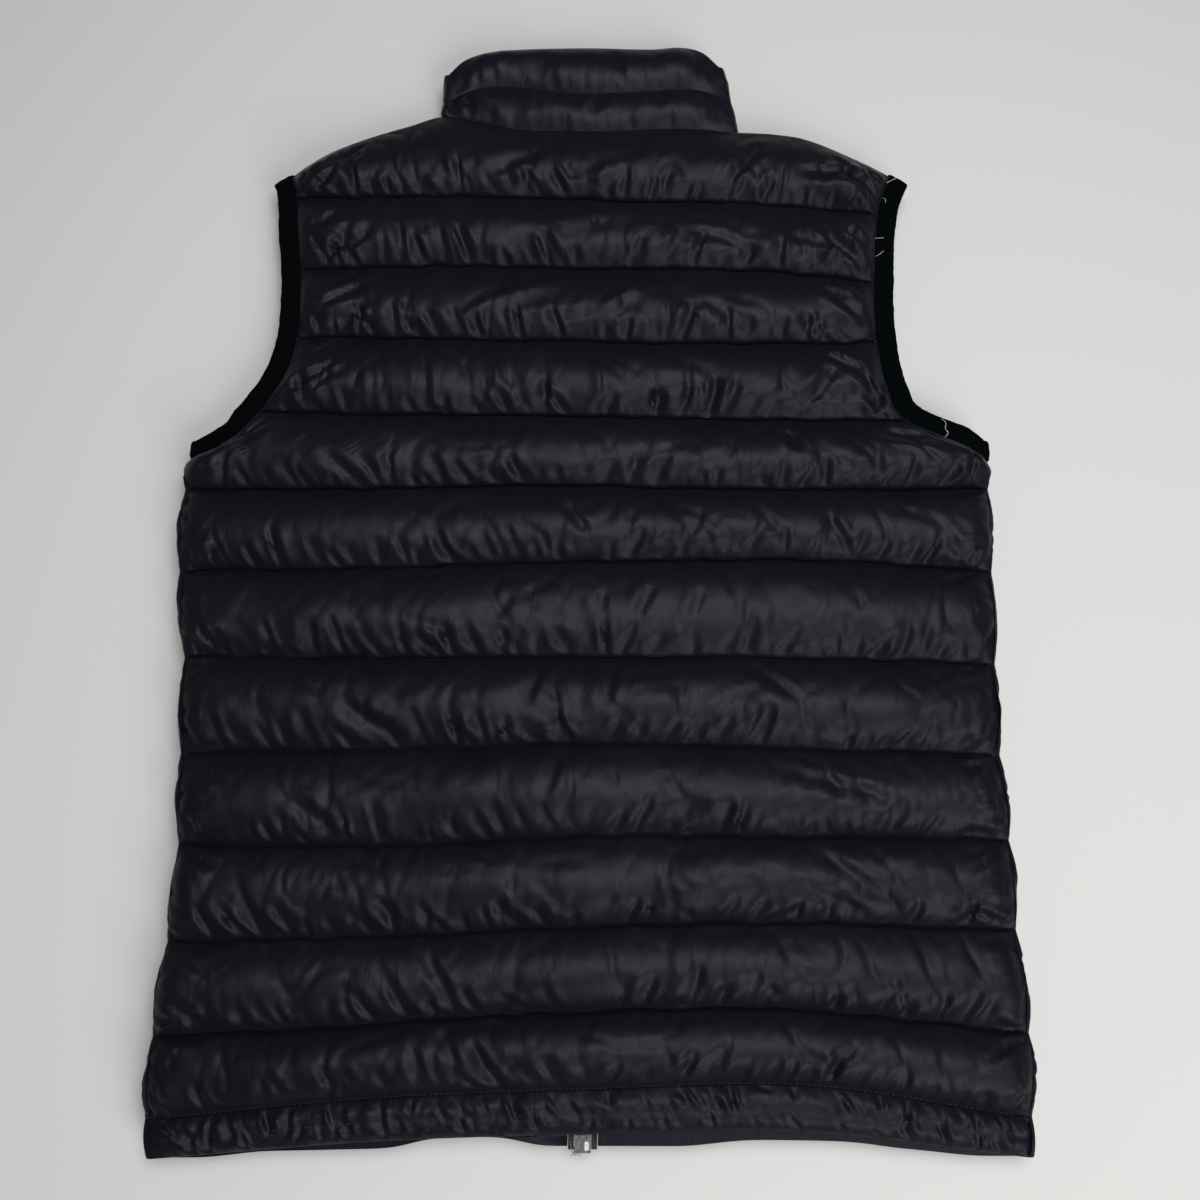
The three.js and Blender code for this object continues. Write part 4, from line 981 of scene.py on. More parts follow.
def makeBackHem():
    grid, u = backGrid(hemRows, backHem["columns"], backHem["rise"])
    for r, row in enumerate(hemRows):
        low = midLevel + cut["seamThickness"]
        grid[r, :, 2] = low + (grid[r, :, 2] - low) * hemProfile(row["t"], backHem["stitchShare"])
    mesh = newMesh("backHem", grid.reshape(-1, 3), gridFaces(*grid.shape[:2]))
    giveCoordinates(mesh, patternValues(hemRows, u))
    mesh = subdivided(mesh, np.zeros(grid.shape[0] * grid.shape[1], bool))
    points = pointsOf(mesh)
    place = coordinatesOf(mesh)
    folds = gathersAlong(grid[0], -1, backHem["gathers"], 91)
    folds += gathersAlong(grid[-1], 1, backHem["lowGathers"], 92)
    fade = np.clip(puff(np.clip(place[:, 1] - cut["channelCount"], 0, 1)), 0, 1)
    points[:, 2] -= (foldField(points, folds) + crumple(points, backHem["crumple"], 93)) * fade
    points[:, 2] = np.maximum(points[:, 2], midLevel + cut["sewnLow"])
    setPoints(mesh, points)
    closeShell(mesh, midLevel + halfGap)
    piece = newPiece("back_hem_tube", mesh, shellNylon)
    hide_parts("back_hem")
    line = mix(grid[0], grid[-1], backHem["stitchShare"])
    line[:, 2] = midLevel + cut["seamThickness"] + backHem["rise"] * 0.7 * rim(
        np.minimum(line[:, 0] - line[0, 0], line[-1, 0] - line[:, 0]), cut["sideRim"]) + 0.1
    row = stitchRow(line[3:-3], (0, 0, 1), backHem["stitch"])
    newPiece("back_hem_stitches", newMesh("backHemStitches", *row), seamThread)


makeBackHem()
print("back hem made")


# Fronts, which face down and are pressed flat where they rest
front = {
    "inner": 64,
    "wrap": 4,
    "rise": 16.5,
    "startShare": 0.92,
    "zipX": -1.5,
    "zipGap": 8.6,
    "zipEdge": 6.4,
    "zipRim": 20.0,
    "wrapInset": 15.0,
    "sideCrumple": {"size": 9.0, "creases": 1.0, "swell": 1.2},
    "hemLift": 3.0,
    "hemLiftMore": {"left": (-67, 34, 5.0), "right": (120, 50, 4.0)},  # middle, half width, height
    "scoop": 12.0,
    "neckDrop": 54.0,
    "hemRise": 5.2,
    "cloth": {
        "surplusAcross": 1.03, "surplusAlong": 1.0, "surplusUp": 1.08, "quality": 5, "mass": 0.3,
        "stiffness": 15.0, "shear": 5.0, "bending": 0.5, "damping": 1.0, "pressure": -4.0, "frames": 20,
        "unevenness": 3.0, "cap": 5.0,
    },
    "gathers": {"pitch": 11.0, "length": (7, 16), "width": (1.8, 3.2), "depth": (0.5, 1.6), "lean": 0.45},
    "stitch": {"pitch": 3.2, "length": 2.4, "radius": 0.26},
}
wrapSection = [
    {"inset": 9, "crest": -15.5, "seam": -3.4},
    {"inset": 2.2, "crest": -8.5, "seam": -2.8},
    {"inset": 0, "crest": 0.5, "seam": -0.2},
    {"inset": 0.4, "crest": 6.2, "seam": 2.4},
    {"inset": None, "crest": 8.2, "seam": 3.4},
]
armholeSection = [
    {"inset": 9, "level": None},
    {"inset": 2.5, "level": None},
    {"inset": 0.6, "level": -3.2},
    {"inset": 0, "level": -2.0},
    {"inset": -0.15, "level": -0.05},
]
neckPoints = {"left": (-97.0, 301.0), "right": (101.0, 289.0)}
neckShare = 0.63  # share of a front's width that lies under the neck seam


def frontNeck(side, turn):
    out = -1 if side == "left" else 1
    topX, topY = neckPoints[side]
    zipEdge = front["zipX"] + out * front["zipGap"]
    bottom = neckPoints["left"][1] - front["neckDrop"]
    return zipEdge + (topX - zipEdge) * np.sin(turn), topY - (topY - bottom) * np.cos(turn)


def smoothThrough(values, finer):  # smooth curve through evenly stepped values
    values = np.asarray(values, float)
    rows = [{"k": k, "v": value} for k, value in enumerate(values)]
    return readTable(rows, "k", "v", np.linspace(0, len(values) - 1, (len(values) - 1) * finer + 1))


def frontGrid(rows, side, rise):
    out = -1 if side == "left" else 1
    zipEdge = front["zipX"] + out * front["zipGap"]
    k = np.linspace(0, 1, front["inner"])
    share = mix(k, (1 - np.cos(np.pi * k)) / 2, 0.3)
    finer = front["wrap"]
    grid = []
    for r, row in enumerate(rows):
        cutX = edgeX(row, side) - out * front["scoop"] * scoopShare(row, side)
        wrap = wrapShare(row, side)
        lastX = cutX - out * front["wrapInset"]
        endGap = -halfGap if r == 0 else halfGap if r == len(rows) - 1 else 0
        x = mix(zipEdge, lastX, share)
        across = (1 + np.cos(np.pi * share)) / 2
        y = mix(row[side], row["zip"], across)
        if row["channel"] == cut["channelCount"]:
            place, width, lift = front["hemLiftMore"][side]
            lifted = front["hemLift"] + lift * np.exp(-np.abs((x - place) / width) ** 4)
            y = y + row["t"] * lifted * (1 - smoothStep(share, 0.75, 0.95))
        if row["channel"] == 0:
            turn = np.clip(share / neckShare, 0, 1) * math.pi / 2
            neckX, neckY = frontNeck(side, turn)
            shoulderX = mix(neckPoints[side][0], lastX, np.clip((share - neckShare) / (1 - neckShare), 0, 1))
            shoulderY = readTable(topEdge, "x", "y", shoulderX)
            topX = np.where(share <= neckShare, neckX, shoulderX)
            topY = np.where(share <= neckShare, neckY, shoulderY)
            x = mix(topX, x, row["t"])
            y = mix(topY, mix(seams[0][side], seams[0]["zip"], across), row["t"])
        reach = cut["armholeRim"] if row["onArmhole"] else cut["sideRim"] + front["wrapInset"]
        full = rise * puff(row["t"]) * rim(np.abs(cutX - x), reach)
        full = full * rim(np.abs(x - zipEdge), front["zipRim"])
        level = -(cut["seamThickness"] + full)
        level = mix(level, -front["zipEdge"], np.exp(-(np.abs(x - zipEdge) / 2.5) ** 2))
        inner = np.stack([x, y + endGap, level], -1)
        insets, levels = [], []
        for section, opened in zip(wrapSection, armholeSection):
            rimmed = -(cut["seamThickness"] + rise * puff(row["t"]) * rim(opened["inset"], cut["armholeRim"]))
            start = rimmed if opened["level"] is None else opened["level"]
            scale = 1 if row["channel"] < cut["channelCount"] else 0.62
            wrapped = mix(section["seam"], section["crest"] * scale, puff(row["t"]))
            inset = seamInset(row, side) - halfGap if section["inset"] is None else section["inset"]
            insets.append(mix(opened["inset"], inset, wrap))
            levels.append(mix(start, wrapped, wrap))
        insets = smoothThrough(insets, finer)
        levels = smoothThrough(levels, finer)
        x = cutX - out * insets
        y = np.full_like(x, row[side])
        if row["channel"] == 0:
            y = mix(readTable(topEdge, "x", "y", x), row[side], row["t"])
        outer = np.stack([x, y + endGap, levels], -1)
        grid.append(np.concatenate([inner, outer]))
    grid = np.array(grid)
    grid[:, :, 2] = np.maximum(grid[:, :, 2] + midLevel, 0)
    return grid


def frontFolds(side, seed):  # a few folds in each channel, as on the back
    rng = np.random.default_rng(seed)
    out = -1 if side == "left" else 1
    folds = []
    for channel in range(1, cut["channelCount"]):
        upper, lower = seams[channel - 1]["middle"], seams[channel]["middle"]
        for _ in range(3):
            x = out * rng.uniform(35, 205)
            y = mix(upper, lower, rng.uniform(0.25, 0.75))
            length = rng.uniform(18, 34)
            lean = rng.normal(0, 0.6)
            fold = {"startX": x, "startY": y + length / 2, "endX": x + length * math.sin(lean)}
            fold["endY"] = y - length / 2
            fold["width"] = rng.uniform(4, 6)
            fold["depth"] = rng.uniform(1, 3)
            folds.append(fold)
    return folds


def foldEnd(grid, row, columns):
    first = (front["inner"] - 1) / (columns - 1)
    return first, grid[row, front["inner"] - 1, 0], grid[row, -1, 0]


def makeFront(side):
    grid = frontGrid(bodyRows, side, front["rise"] * front["startShare"])
    columns = grid.shape[1]
    sewn = sewnMask(bodyRows, columns)
    out = -1 if side == "left" else 1
    settings = dict(front["cloth"], pressure=front["cloth"]["pressure"] * -out)
    mesh = inflate("frontPanel" + side, grid, sewn, settings)
    giveCoordinates(mesh, patternValues(bodyRows, np.linspace(0, 1, columns)))
    mesh = subdivided(mesh, sewn.ravel())
    points = pointsOf(mesh)
    place = coordinatesOf(mesh)
    under = smoothStep(midLevel - points[:, 2], 2, 6)  # folds fade out where the cloth turns round the side
    fade = puff(place[:, 1] % 1) * under
    lines = [row for row in grid[[i for i, r in enumerate(bodyRows) if r["t"] in (0, 1.0)]]]
    gathers = []
    for index, line in enumerate(lines[1:-1]):
        gathers += gathersAlong(line[2:front["inner"]], 1, front["gathers"], 120 + index + (out + 1) * 40)
        gathers += gathersAlong(line[2:front["inner"]], -1, front["gathers"], 160 + index + (out + 1) * 40)
    down = foldField(points, frontFolds(side, 5 + out)) + foldField(points, gathers)
    down += crumple(points, back["crumple"], 51 + out)
    rounded = puff(place[:, 1] % 1) * (1 - under) * (1 - smoothStep(place[:, 0], 0.96, 1))
    uneven = crumple(points, front["sideCrumple"], 61 + out) * rounded
    points[:, 2] = np.maximum(points[:, 2] + down * fade, 0)
    points[:, 0] -= out * uneven
    points[:, 2] -= 0.7 * uneven
    setPoints(mesh, points)
    closeShell(mesh, midLevel - halfGap, {cut["channelCount"]: foldEnd(grid, -1, columns)})
    piece = newPiece("quilted_front_" + side, mesh, shellNylon)
    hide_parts(f"front_{side}_panel")
    rows = [stitchRow(line[2:front["inner"] + 10] - [0, 0, 0.3], (0, 0, -1), front["stitch"])
            for line in lines[1:]]
    newPiece(f"front_{side}_stitches", newMesh("frontStitches" + side, *joinRows(rows)), seamThread)
    hem = frontGrid(hemRows, side, front["hemRise"])
    hemMesh = newMesh("frontHem" + side, hem.reshape(-1, 3), gridFaces(*hem.shape[:2]))
    giveCoordinates(hemMesh, patternValues(hemRows, np.linspace(0, 1, columns)))
    hemMesh = subdivided(hemMesh, np.zeros(hem.shape[0] * hem.shape[1], bool))
    points = pointsOf(hemMesh)
    under = smoothStep(midLevel - points[:, 2], 2, 5)
    folds = gathersAlong(hem[0, 2:front["inner"]], -1, backHem["gathers"], 300 + out)
    points[:, 2] += foldField(points, folds) * 0.7 * under
    setPoints(hemMesh, points)
    ends = {cut["channelCount"]: foldEnd(hem, 0, columns), cut["channelCount"] + 1: foldEnd(hem, -1, columns)}
    closeShell(hemMesh, midLevel - halfGap, ends)
    hemPiece = newPiece(f"front_{side}_hem_tube", hemMesh, shellNylon)
    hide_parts(f"front_{side}_hem")


makeFront("left")
makeFront("right")
print("fronts made")


# Stand collar: one strip of two channels, folded flat at both sides
collar = {
    "height": 60.0,
    "rise": 7.6,
    "foldRise": 1.6,
    "foldReach": 34.0,
    "underShare": 0.7,
    "crumple": {"size": 18.0, "creases": 1.4, "swell": 2.6},
    "backColumns": 84,
    "frontColumns": 44,
    "foldColumns": 12,
    "rows": 9,
    "bottom": {"left": -94.5, "right": 98.5},
    "top": {"left": -94.5, "right": 89.5},
    "gathers": {"pitch": 8.0, "length": (5, 14), "width": (1.4, 2.6), "depth": (0.6, 2.2), "lean": 0.4},
    "stitch": {"pitch": 3.2, "length": 2.4, "radius": 0.26},
}
collarLines = [
    {"share": 0, "seamY": 312, "topY": 333},
    {"share": 0.05, "seamY": 318, "topY": 343},
    {"share": 0.12, "seamY": 323, "topY": 349},
    {"share": 0.22, "seamY": 324, "topY": 352},
    {"share": 0.5, "seamY": 319, "topY": 353.6},
    {"share": 0.75, "seamY": 321, "topY": 352.6},
    {"share": 0.86, "seamY": 322, "topY": 354},
    {"share": 0.94, "seamY": 319, "topY": 350},
    {"share": 1, "seamY": 314, "topY": 339},
]
collarFolds = [
    {"startX": -88, "startY": 332, "endX": -78, "endY": 318, "width": 2.6, "depth": 2.4},
    {"startX": -84, "startY": 312, "endX": -62, "endY": 301, "width": 3.4, "depth": 3.0},
    {"startX": -70, "startY": 344, "endX": -60, "endY": 326, "width": 2.8, "depth": 2.0},
    {"startX": 18, "startY": 319, "endX": 2, "endY": 300, "width": 2.6, "depth": 3.4},
    {"startX": 17, "startY": 349, "endX": 24, "endY": 328, "width": 3, "depth": 2.2},
    {"startX": 60, "startY": 318, "endX": 46, "endY": 306, "width": 2.6, "depth": 1.8},
    {"startX": 92, "startY": 303, "endX": 78, "endY": 294, "width": 2.8, "depth": 2.8},
    {"startX": 44, "startY": 350, "endX": 50, "endY": 330, "width": 3, "depth": 1.6},
]


def collarStations():
    def foldAt(side):
        share = 0 if side == "left" else 1
        bottomX = collar["bottom"][side]
        topX = collar["top"][side]
        return {
            "bottom": (bottomX, float(readTable(topEdge, "x", "y", neckPoints[side][0])) + 2 * halfGap),
            "seam": ((bottomX + topX) / 2, collarLines[0 if share == 0 else -1]["seamY"]),
            "top": (topX, collarLines[0 if share == 0 else -1]["topY"]),
        }

    def frontPart(side):
        fold = foldAt(side)
        out = -1 if side == "left" else 1
        stations = []
        count = collar["frontColumns"]
        for k in range(count):
            share = k / count
            turn = share * math.pi / 2
            neckX, neckY = frontNeck(side, turn)
            offX, offY = -out * math.sin(turn) * 3 * halfGap, math.cos(turn) * 3 * halfGap
            topX = mix(front["zipX"] + out * front["zipGap"], fold["top"][0], share)
            centreTop = neckPoints["left"][1] - front["neckDrop"] + collar["height"]
            topY = mix(centreTop, fold["top"][1], float(smoothStep(share, 0, 1)))
            bottom = (neckX + (offX if k else 0), neckY + offY)
            seam = (mix(bottom[0], topX, 0.5), mix(bottom[1], topY, 0.52))
            stations.append({"bottom": bottom, "seam": seam, "top": (topX, topY), "turn": math.pi, "out": out,
                             "end": k * 1.0, "inward": (1 - share) * abs(fold["bottom"][0])})
        return stations

    def foldPart(side):
        out = -1 if side == "left" else 1
        turns = np.linspace(math.pi, 0, collar["foldColumns"])
        return [dict(foldAt(side), turn=turn, out=out, end=9, inward=0) for turn in turns]

    stations = frontPart("left") + foldPart("left")
    for k in range(1, collar["backColumns"]):
        share = k / collar["backColumns"]
        bottomX = mix(neckPoints["left"][0], neckPoints["right"][0], share)
        leftSeam = (collar["bottom"]["left"] + collar["top"]["left"]) / 2
        rightSeam = (collar["bottom"]["right"] + collar["top"]["right"]) / 2
        stations.append({
            "bottom": (bottomX, float(readTable(topEdge, "x", "y", bottomX)) + 2 * halfGap),
            "seam": (mix(leftSeam, rightSeam, share), float(readTable(collarLines, "share", "seamY", share))),
            "top": (mix(collar["top"]["left"], collar["top"]["right"], share),
                    float(readTable(collarLines, "share", "topY", share))),
            "turn": 0, "out": 1, "end": 9, "inward": (1 - abs(2 * share - 1)) * neckPoints["right"][0],
        })
    return stations + foldPart("right")[::-1] + frontPart("right")[::-1]


def makeCollar():
    stations = collarStations()
    steps = channelSteps(collar["rows"])
    across = np.concatenate([steps, 1 + steps, [2.0]])
    columns = []
    for index, station in enumerate(stations):
        nearFold = 1.0 - float(smoothStep(station["inward"], 0, collar["foldReach"]))
        points = []
        for q in across:
            if q < 1:
                first, last, t = station["bottom"], station["seam"], q
            else:
                first, last, t = station["seam"], station["top"], q - 1
            rise = mix(collar["rise"], collar["foldRise"], nearFold)
            thickness = cut["seamThickness"] + rise * float(puff(np.array(1.0 if q == 2 else q % 1)))
            if station["end"] < 3 and station["turn"] > 3:
                thickness = mix(front["zipEdge"], thickness, min(station["end"] / 3, 1))
            radius = halfGap + thickness
            x = mix(first[0], last[0], t) + station["out"] * radius * math.sin(station["turn"])
            points.append((x, mix(first[1], last[1], t), radius * math.cos(station["turn"])))
        for end in (station["top"], station["bottom"]):
            shift = station["out"] * halfGap * math.sin(station["turn"])
            points.append((end[0] + shift, end[1], halfGap * math.cos(station["turn"])))
        columns.append(points)
    grid = np.array(columns)
    grid[:, :, 2] += midLevel
    count, size = grid.shape[:2]
    faces = []
    for s in range(count - 1):
        for k in range(size):
            a, b = s * size + k, s * size + (k + 1) % size
            faces.append([a, b, b + size, a + size])
    faces.append([k for k in range(size)][::-1])
    faces.append([(count - 1) * size + k for k in range(size)])
    mesh = newMesh("collar", grid.reshape(-1, 3), faces)
    faceOutward(mesh)
    mesh.update()
    points = pointsOf(mesh)
    normals = normalsOf(mesh)
    q = np.tile(np.concatenate([across, [9, 9]]), count)
    fade = np.where(q <= 2, puff(q % 1), 0)
    upward = normals[:, 2] > 0.3
    middle = grid[:, collar["rows"]]
    bottomLine = grid[:, 0]
    turned = collar["frontColumns"] + collar["foldColumns"]
    backSide = slice(turned, count - turned)
    gathers = gathersAlong(middle[backSide], 1, collar["gathers"], 401)
    gathers += gathersAlong(middle[backSide], -1, collar["gathers"], 402)
    gathers += gathersAlong(bottomLine[backSide], 1, collar["gathers"], 403)
    down = foldField(points, gathers + collarFolds) * upward
    down = (down + crumple(points, collar["crumple"], 81) * mix(collar["underShare"], 1, upward)) * fade
    points -= normals * down[:, None]
    setPoints(mesh, points)
    piece = newPiece("collar_padded", mesh, shellNylon)
    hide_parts("collar")
    rows = [stitchRow(middle[backSide] + [0, 0, 0.3], (0, 0, 1), collar["stitch"])]
    newPiece("collar_stitches", newMesh("collarStitches", *joinRows(rows)), seamThread)


makeCollar()
print("collar made")


# Knit bindings round the armholes
binding = {
    "width": 12.6,
    "thickness": 3.7,
    "seat": 0.36,
    "fold": 0.21,
    "turnRoom": 3.4,
    "underarmShare": 0.95,
    "slant": (0.83, -0.56),
    "slantFade": 25.0,
    "turns": 10,
    "ragged": 0.55,
    "cover": 0.2,  # share of the width that reaches in under the shoulder's edge
    "coverBelow": 0.07,
    "join": {"side": "right", "y": 71.0, "wider": 1.3, "thicker": 1.12},  # where its ends overlap
}
bindingProfile = [
    (0, 0), (0, 0.4), (0.03, 0.66), (0.1, 0.82), (0.25, 0.94), (0.45, 1.0), (0.7, 1.0), (0.88, 0.95),
    (0.96, 0.82), (1, 0.6), (1, 0.25), (1, 0),
]


def makeBinding(side):
    out = -1 if side == "left" else 1

    def pathOf(deeper):
        path = [np.array([edgeX(row, side) - out * deeper * scoopShare(row, side), row[side]])
                for row in armholeRows]
        path = [p for k, p in enumerate(path)
                if k in (0, len(path) - 1) or np.hypot(*(p - path[k - 1])) > 1e-6]
        before, end = path[-2], path[-1]
        gap = np.hypot(*(end - before))
        path[-1] = mix(end, before, min(binding["turnRoom"] / gap, 0.9))
        return path

    def acrossAt(path, i):
        last = len(path) - 1
        low, high = max(i - 2, 0), min(i + 2, last)
        along = path[high] - path[low]
        along = along / np.hypot(*along)
        square = np.array([-out * along[1], out * along[0]])
        slanted = np.array([out * binding["slant"][0], binding["slant"][1]])
        direction = mix(slanted, square, float(smoothStep(path[0][1] - path[i][1], 0, binding["slantFade"])))
        direction = mix(direction, np.array([0.0, 1.0]), float(smoothStep(i, last - 5, last)))
        return direction / np.hypot(*direction)

    def section(path, i, turn, along):
        direction = acrossAt(path, i)
        corner = path[i] + direction * binding["seat"]
        last = len(path) - 1
        width = binding["width"] * mix(1, binding["underarmShare"], float(smoothStep(i, last - 5, last)))
        joined = binding["join"]["side"] == side and path[i][1] < binding["join"]["y"]
        width += binding["join"]["wider"] if joined else 0
        ring = []
        for share, height in bindingProfile:
            thicker = binding["join"]["thicker"] if joined else 1
            radius = binding["fold"] + height * binding["thickness"] * thicker
            nearTop = 1 - float(smoothStep(path[0][1] - path[i][1], 4, 18))
            covering = mix(binding["coverBelow"], binding["cover"], nearTop) * (1 - share)
            spot = corner + direction * (share - covering) * width + along * radius * math.sin(turn)
            ring.append((spot[0], spot[1], midLevel + radius * math.cos(turn)))
        return ring

    backPath, frontPath = pathOf(0), pathOf(front["scoop"])
    last = len(backPath) - 1
    none = np.zeros(2)
    turns = np.linspace(0, math.pi, binding["turns"] + 2)[1:-1]
    tip = np.array([-out * binding["slant"][1], binding["slant"][0]])
    under = np.array([float(out), 0.0])
    sections = [section(backPath, i, 0, none) for i in range(last + 1)]
    sections += [section(backPath, last, turn, under) for turn in turns]
    sections += [section(frontPath, last - i, math.pi, none) for i in range(last + 1)]
    sections += [section(backPath, 0, turn, tip) for turn in turns[::-1]]
    size = len(bindingProfile)
    count = len(sections)
    faces = []
    for s in range(count):
        n = (s + 1) % count
        for k in range(size):
            k2 = (k + 1) % size
            faces.append([s * size + k, s * size + k2, n * size + k2, n * size + k])
    mesh = newMesh("binding" + side, np.array(sections).reshape(-1, 3), faces)
    faceOutward(mesh)
    mesh = subdivided(mesh, np.zeros(len(mesh.vertices), bool))
    points = pointsOf(mesh)
    ragged = latticeNoise(points[:, 0] / 2.3 + points[:, 2], points[:, 1] / 2.3, 97 + out) - 0.6
    ragged += 1.2 * (latticeNoise(points[:, 0] / 7, points[:, 1] / 7, 99 + out) - 0.6)
    setPoints(mesh, points + normalsOf(mesh) * (binding["ragged"] * ragged)[:, None])
    piece = newPiece("binding_" + side, mesh, bindingKnit)
    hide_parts("armhole_binding_" + side)


makeBinding("left")
makeBinding("right")


# Ends of sewing thread that were left long at the right armhole and beside the zip's box
threadEnds = [
    {"path": [(199, 250.5, 23.6), (202, 252, 24.2), (205.5, 254, 23.6)], "radius": 0.14, "pale": True},
    {"path": [(196, 240, 22.6), (197.3, 238.5, 23.8), (197.5, 236.5, 23.2)], "radius": 0.13, "pale": True},
    {"path": [(188.5, 211, 22.4), (191.5, 210.4, 23.6), (195, 210.8, 23.4)], "radius": 0.13, "pale": True},
    {"path": [(189.5, 198, 22.4), (192, 199.2, 23.6), (194.5, 201.5, 23.2)], "radius": 0.12, "pale": True},
    {"path": [(226, 85.5, 22), (227.6, 82, 24.2), (227, 78, 24.6), (228.6, 75, 24.4), (226, 71.5, 23.4),
              (227.5, 69, 22.6)],
     "radius": 0.17, "pale": True},
    {"path": [(-8.4, -344, 15.5), (-7.6, -348.5, 15.8), (-5.4, -351.5, 14.6), (-4.2, -349, 14.6)],
     "radius": 0.2,
     "pale": False},
    {"path": [(-6.8, -343.5, 15.6), (-6.2, -349.5, 15.8), (-7.9, -352, 14)], "radius": 0.18, "pale": False},
    {"path": [(-4.9, -345, 15.8), (-3.6, -350.5, 15.4), (-3.0, -352.2, 14)], "radius": 0.18, "pale": False},
]


def threadTube(path, radius, sides=6, finer=6):
    path = np.array(path, float)
    line = np.stack([smoothThrough(path[:, k], finer) for k in range(3)], -1)
    along = np.gradient(line, axis=0)
    along /= np.linalg.norm(along, axis=1)[:, None]
    across = np.cross(along, [0, 0, 1])
    across /= np.linalg.norm(across, axis=1)[:, None]
    upward = np.cross(across, along)
    points, faces = [], []
    for i, centre in enumerate(line):
        for k in range(sides):
            turn = 2 * math.pi * k / sides
            points.append(centre + radius * (across[i] * math.cos(turn) + upward[i] * math.sin(turn)))
    for i in range(len(line) - 1):
        for k in range(sides):
            a, b = i * sides + k, i * sides + (k + 1) % sides
            faces.append([a, b, b + sides, a + sides])
    faces.append([k for k in range(sides)][::-1])
    faces.append([(len(line) - 1) * sides + k for k in range(sides)])
    return points, faces


threadPieces = [("pale_thread_ends", True, looseThread), ("dark_thread_ends", False, frayedThread)]
for name, pale, material in threadPieces:
    tubes = [threadTube(end["path"], end["radius"]) for end in threadEnds if end["pale"] == pale]
    newPiece(name, newMesh(name, *joinRows(tubes)), material)
print("bindings made")


# Zip: woven tapes, each with its row of moulded teeth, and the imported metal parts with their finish
zipSizes = {
    "level": midLevel - 4.2,
    "thickness": 1.2,
    "reach": 8.3,
    "bottom": -348.5,
    "top": 305.0,
    "boxTop": -340.6,
    "pinTop": -325.7,
    "besideBox": 4.9,  # from the centre line to the tape's inner edge there
    "besidePin": 4.7,
    "underTeeth": 0.4,
    "sewnIn": 1.9,  # further width of the tape, which is sewn in under the front's edge
    "teethTop": 294.0,
    "pitch": 2.6,
    "teethThickness": 2.6,
    "step": 3.0,
    "waver": 0.25,
}
toothOutline = [  # from the centre line outward, and along the zip
    (2.8, -0.72), (1.3, -0.6), (0.7, -0.46), (0.15, -0.76), (-0.35, -0.46),
    (-0.35, 0.46), (0.15, 0.76), (0.7, 0.46), (1.3, 0.6), (2.8, 0.72),
]
toothRings = [(-1.0, 0.8), (-0.8, 1.0), (0.8, 1.0), (1.0, 0.8)]  # shares of half thickness and outline


def makeTape(side):
    size = zipSizes
    out = -1 if side == "left" else 1
    centre = front["zipX"]
    half = size["thickness"] / 2
    stations = [(size["bottom"], size["besideBox"]), (size["boxTop"], size["besideBox"]),
                (size["boxTop"] + 0.1, size["besidePin"]), (size["pinTop"], size["besidePin"])]
    count = int((size["top"] - size["pinTop"]) / size["step"])
    stations += [(y, size["underTeeth"]) for y in np.linspace(size["pinTop"] + 0.1, size["top"], count)]
    points, faces = [], []
    for y, inner in stations:
        waver = size["waver"] * (float(latticeNoise(np.array([y / 9]), np.array([2.0 + out]), 44)[0]) - 0.5)
        outer = size["reach"] - abs(waver)
        edge = outer - 0.15
        for x, level in [(inner, -half), (inner, half), (edge, half), (outer, 0), (edge, -half)]:
            points.append((centre + out * x, y, size["level"] + level + waver))
    for i in range(len(stations) - 1):
        for k in range(5):
            a, b = i * 5 + k, i * 5 + (k + 1) % 5
            faces.append([a, b, b + 5, a + 5])
    faces += [[4, 3, 2, 1, 0], [(len(stations) - 1) * 5 + k for k in range(5)]]
    mesh = newMesh("zipTape" + side, points, faces)
    faceOutward(mesh)
    tape = newPiece(f"zip_{side}_tape", mesh, zipTapeCloth, sharpAngle=40)
    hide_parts(f"zip_tape_{side}")
    first = size["pinTop"] if side == "left" else size["boxTop"] + 0.6
    start = size["boxTop"] + 0.6 + (size["pitch"] / 2 if side == "left" else 0)
    rows = []
    for k in range(int((size["teethTop"] - start) / size["pitch"])):
        y = start + k * size["pitch"] + 0.8
        if y < first + 0.8:
            continue
        ring = [[(centre + out * (0.2 + (x - 0.2) * share), y + along * share,
                  size["level"] + level * size["teethThickness"] / 2) for x, along in toothOutline]
                for level, share in toothRings]
        corners = [corner for part in ring for corner in part]
        count = len(toothOutline)
        sides = [[r * count + j, r * count + k, (r + 1) * count + k, (r + 1) * count + j]
                 for r in range(len(toothRings) - 1) for j, k in zip(range(count), [*range(1, count), 0])]
        ends = [[j for j in range(count)][::-1], [3 * count + j for j in range(count)]]
        faces = sides + ends
        rows.append((corners, faces if out < 0 else [face[::-1] for face in faces]))
    mesh = newMesh("zipTeeth" + side, *joinRows(rows))
    faceOutward(mesh)
    newPiece(f"zip_{side}_teeth", mesh, zipTeeth, sharpAngle=35)


makeTape("left")
makeTape("right")
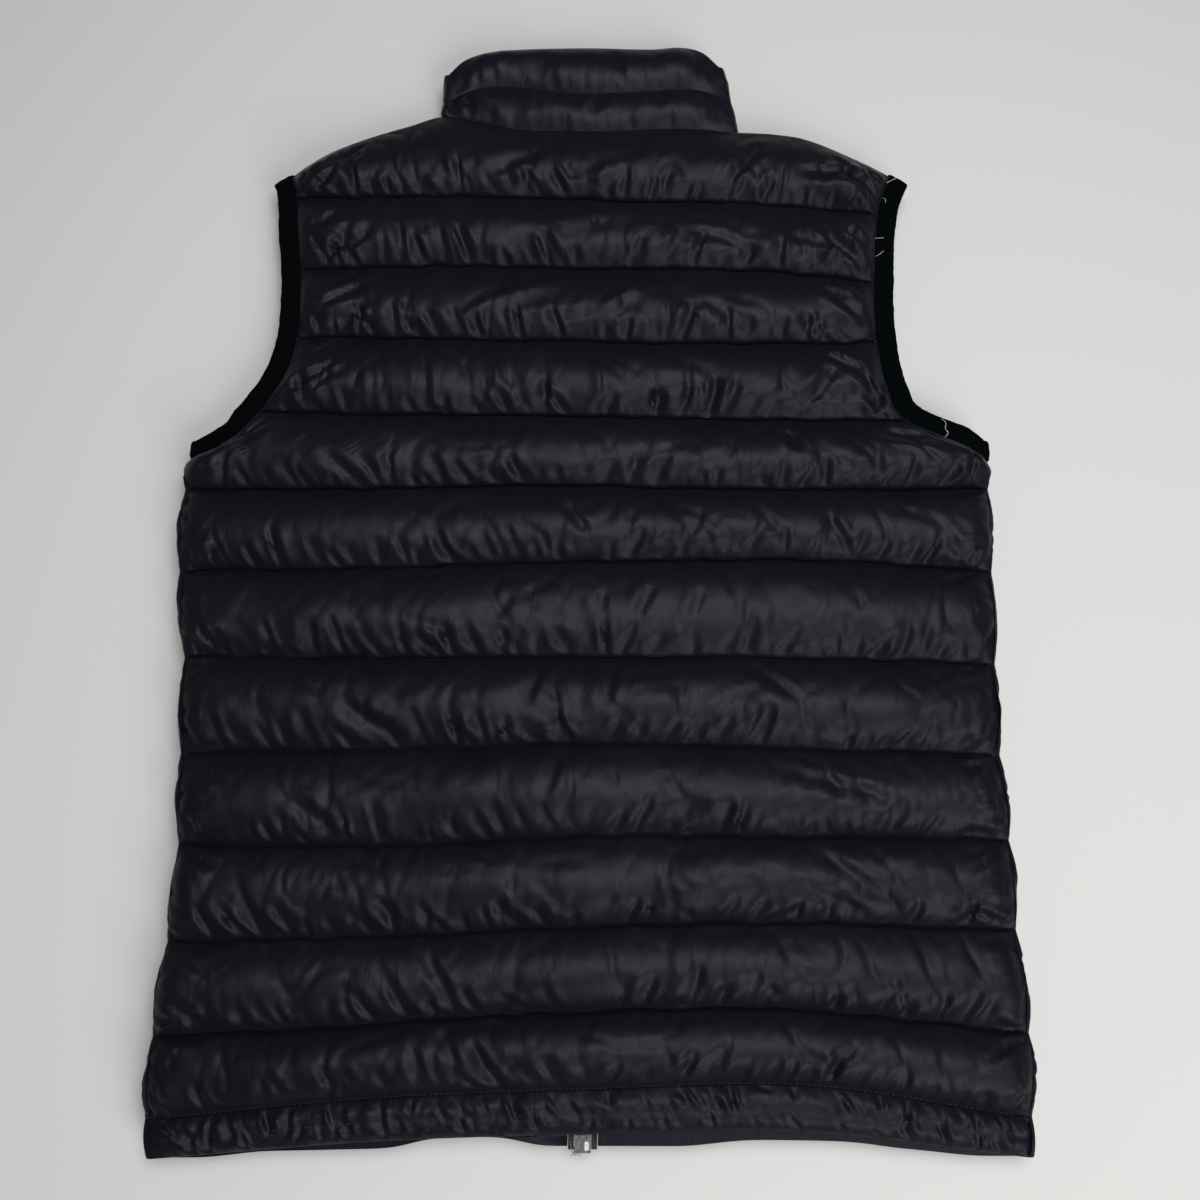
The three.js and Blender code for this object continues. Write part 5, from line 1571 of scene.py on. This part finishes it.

# Face of the box, which shows between the hems, in paler nickel than the rest of the zip: a painted highlight
# where the box catches the light
boxFace = {"centre": (0.9, -346.4), "width": 2.6, "length": 5.0, "level": 16.35, "corner": 0.5}
halfWidth, halfLength, corner = boxFace["width"] / 2, boxFace["length"] / 2, boxFace["corner"]
facePlan = [(halfWidth - corner, -halfLength), (halfWidth, corner - halfLength),
            (halfWidth, halfLength - corner), (halfWidth - corner, halfLength),
            (corner - halfWidth, halfLength), (-halfWidth, halfLength - corner),
            (-halfWidth, corner - halfLength), (corner - halfWidth, -halfLength)]
faceCorners = [(boxFace["centre"][0] + x * share, boxFace["centre"][1] + y * share, level)
               for level, share in [(16.1, 1.0), (boxFace["level"], 0.94)] for x, y in facePlan]
faceSides = [[k, (k + 1) % 8, 8 + (k + 1) % 8, 8 + k] for k in range(8)]
faceEnds = [[7, 6, 5, 4, 3, 2, 1, 0], list(range(8, 16))]
newPiece("box_face", newMesh("boxFace", faceCorners, faceSides + faceEnds),
         paintedGlintNickel, sharpAngle=30)

for node, material in [
    ("zip_slider", zipNickel),
    ("zip_pull", zipNickel),
    ("zip_box", zipNickel),
    ("zip_pin", zipNickel),
]:
    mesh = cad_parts[node].data
    mesh.materials.clear()
    mesh.materials.append(material)
print("zip dressed")


# Table and light
stageSettings = {
    "floorColour": (0.515, 0.52, 0.502),
    "floorSize": 8000.0,
    "worldStrength": 0.14,
    "keyPower": 18.0,
    "keySize": 0.8,
    "keyPlace": (0.2, 0.14, 1.4),
    "sidePower": 22.0,
    "sideSize": 1.1,
    "sidePlace": (0.75, -1.2, 1.1),
}


def makeStage():
    half = stageSettings["floorSize"] / 2
    corners = [(-half, -half, -0.02), (half, -half, -0.02), (half, half, -0.02), (-half, half, -0.02)]
    floor = bpy.data.objects.new("table", newMesh("table", corners, [[0, 1, 2, 3]]))
    scene.collection.objects.link(floor)
    material, g, shader, coords = newMaterial("tablePaper", stageSettings["floorColour"], 0.9)
    floor.data.materials.append(material)
    world = bpy.data.worlds.new("studio")
    scene.world = world
    scene.view_settings.view_transform = "Standard"
    world.use_nodes = True
    world.node_tree.nodes["Background"].inputs["Color"].default_value = (0.93, 0.96, 1.0, 1)
    world.node_tree.nodes["Background"].inputs["Strength"].default_value = stageSettings["worldStrength"]

    def lamp(name, place, power, size):
        data = bpy.data.lights.new(name, "AREA")
        data.energy = power
        data.size = size
        lampObject = bpy.data.objects.new(name, data)
        lampObject.location = place
        aim = Vector((0, 0, 0)) - Vector(place)
        lampObject.rotation_euler = aim.to_track_quat("-Z", "Y").to_euler()
        scene.collection.objects.link(lampObject)

    lamp("key", stageSettings["keyPlace"], stageSettings["keyPower"], stageSettings["keySize"])
    lamp("side", stageSettings["sidePlace"], stageSettings["sidePower"], stageSettings["sideSize"])


makeStage()
print("stage made")
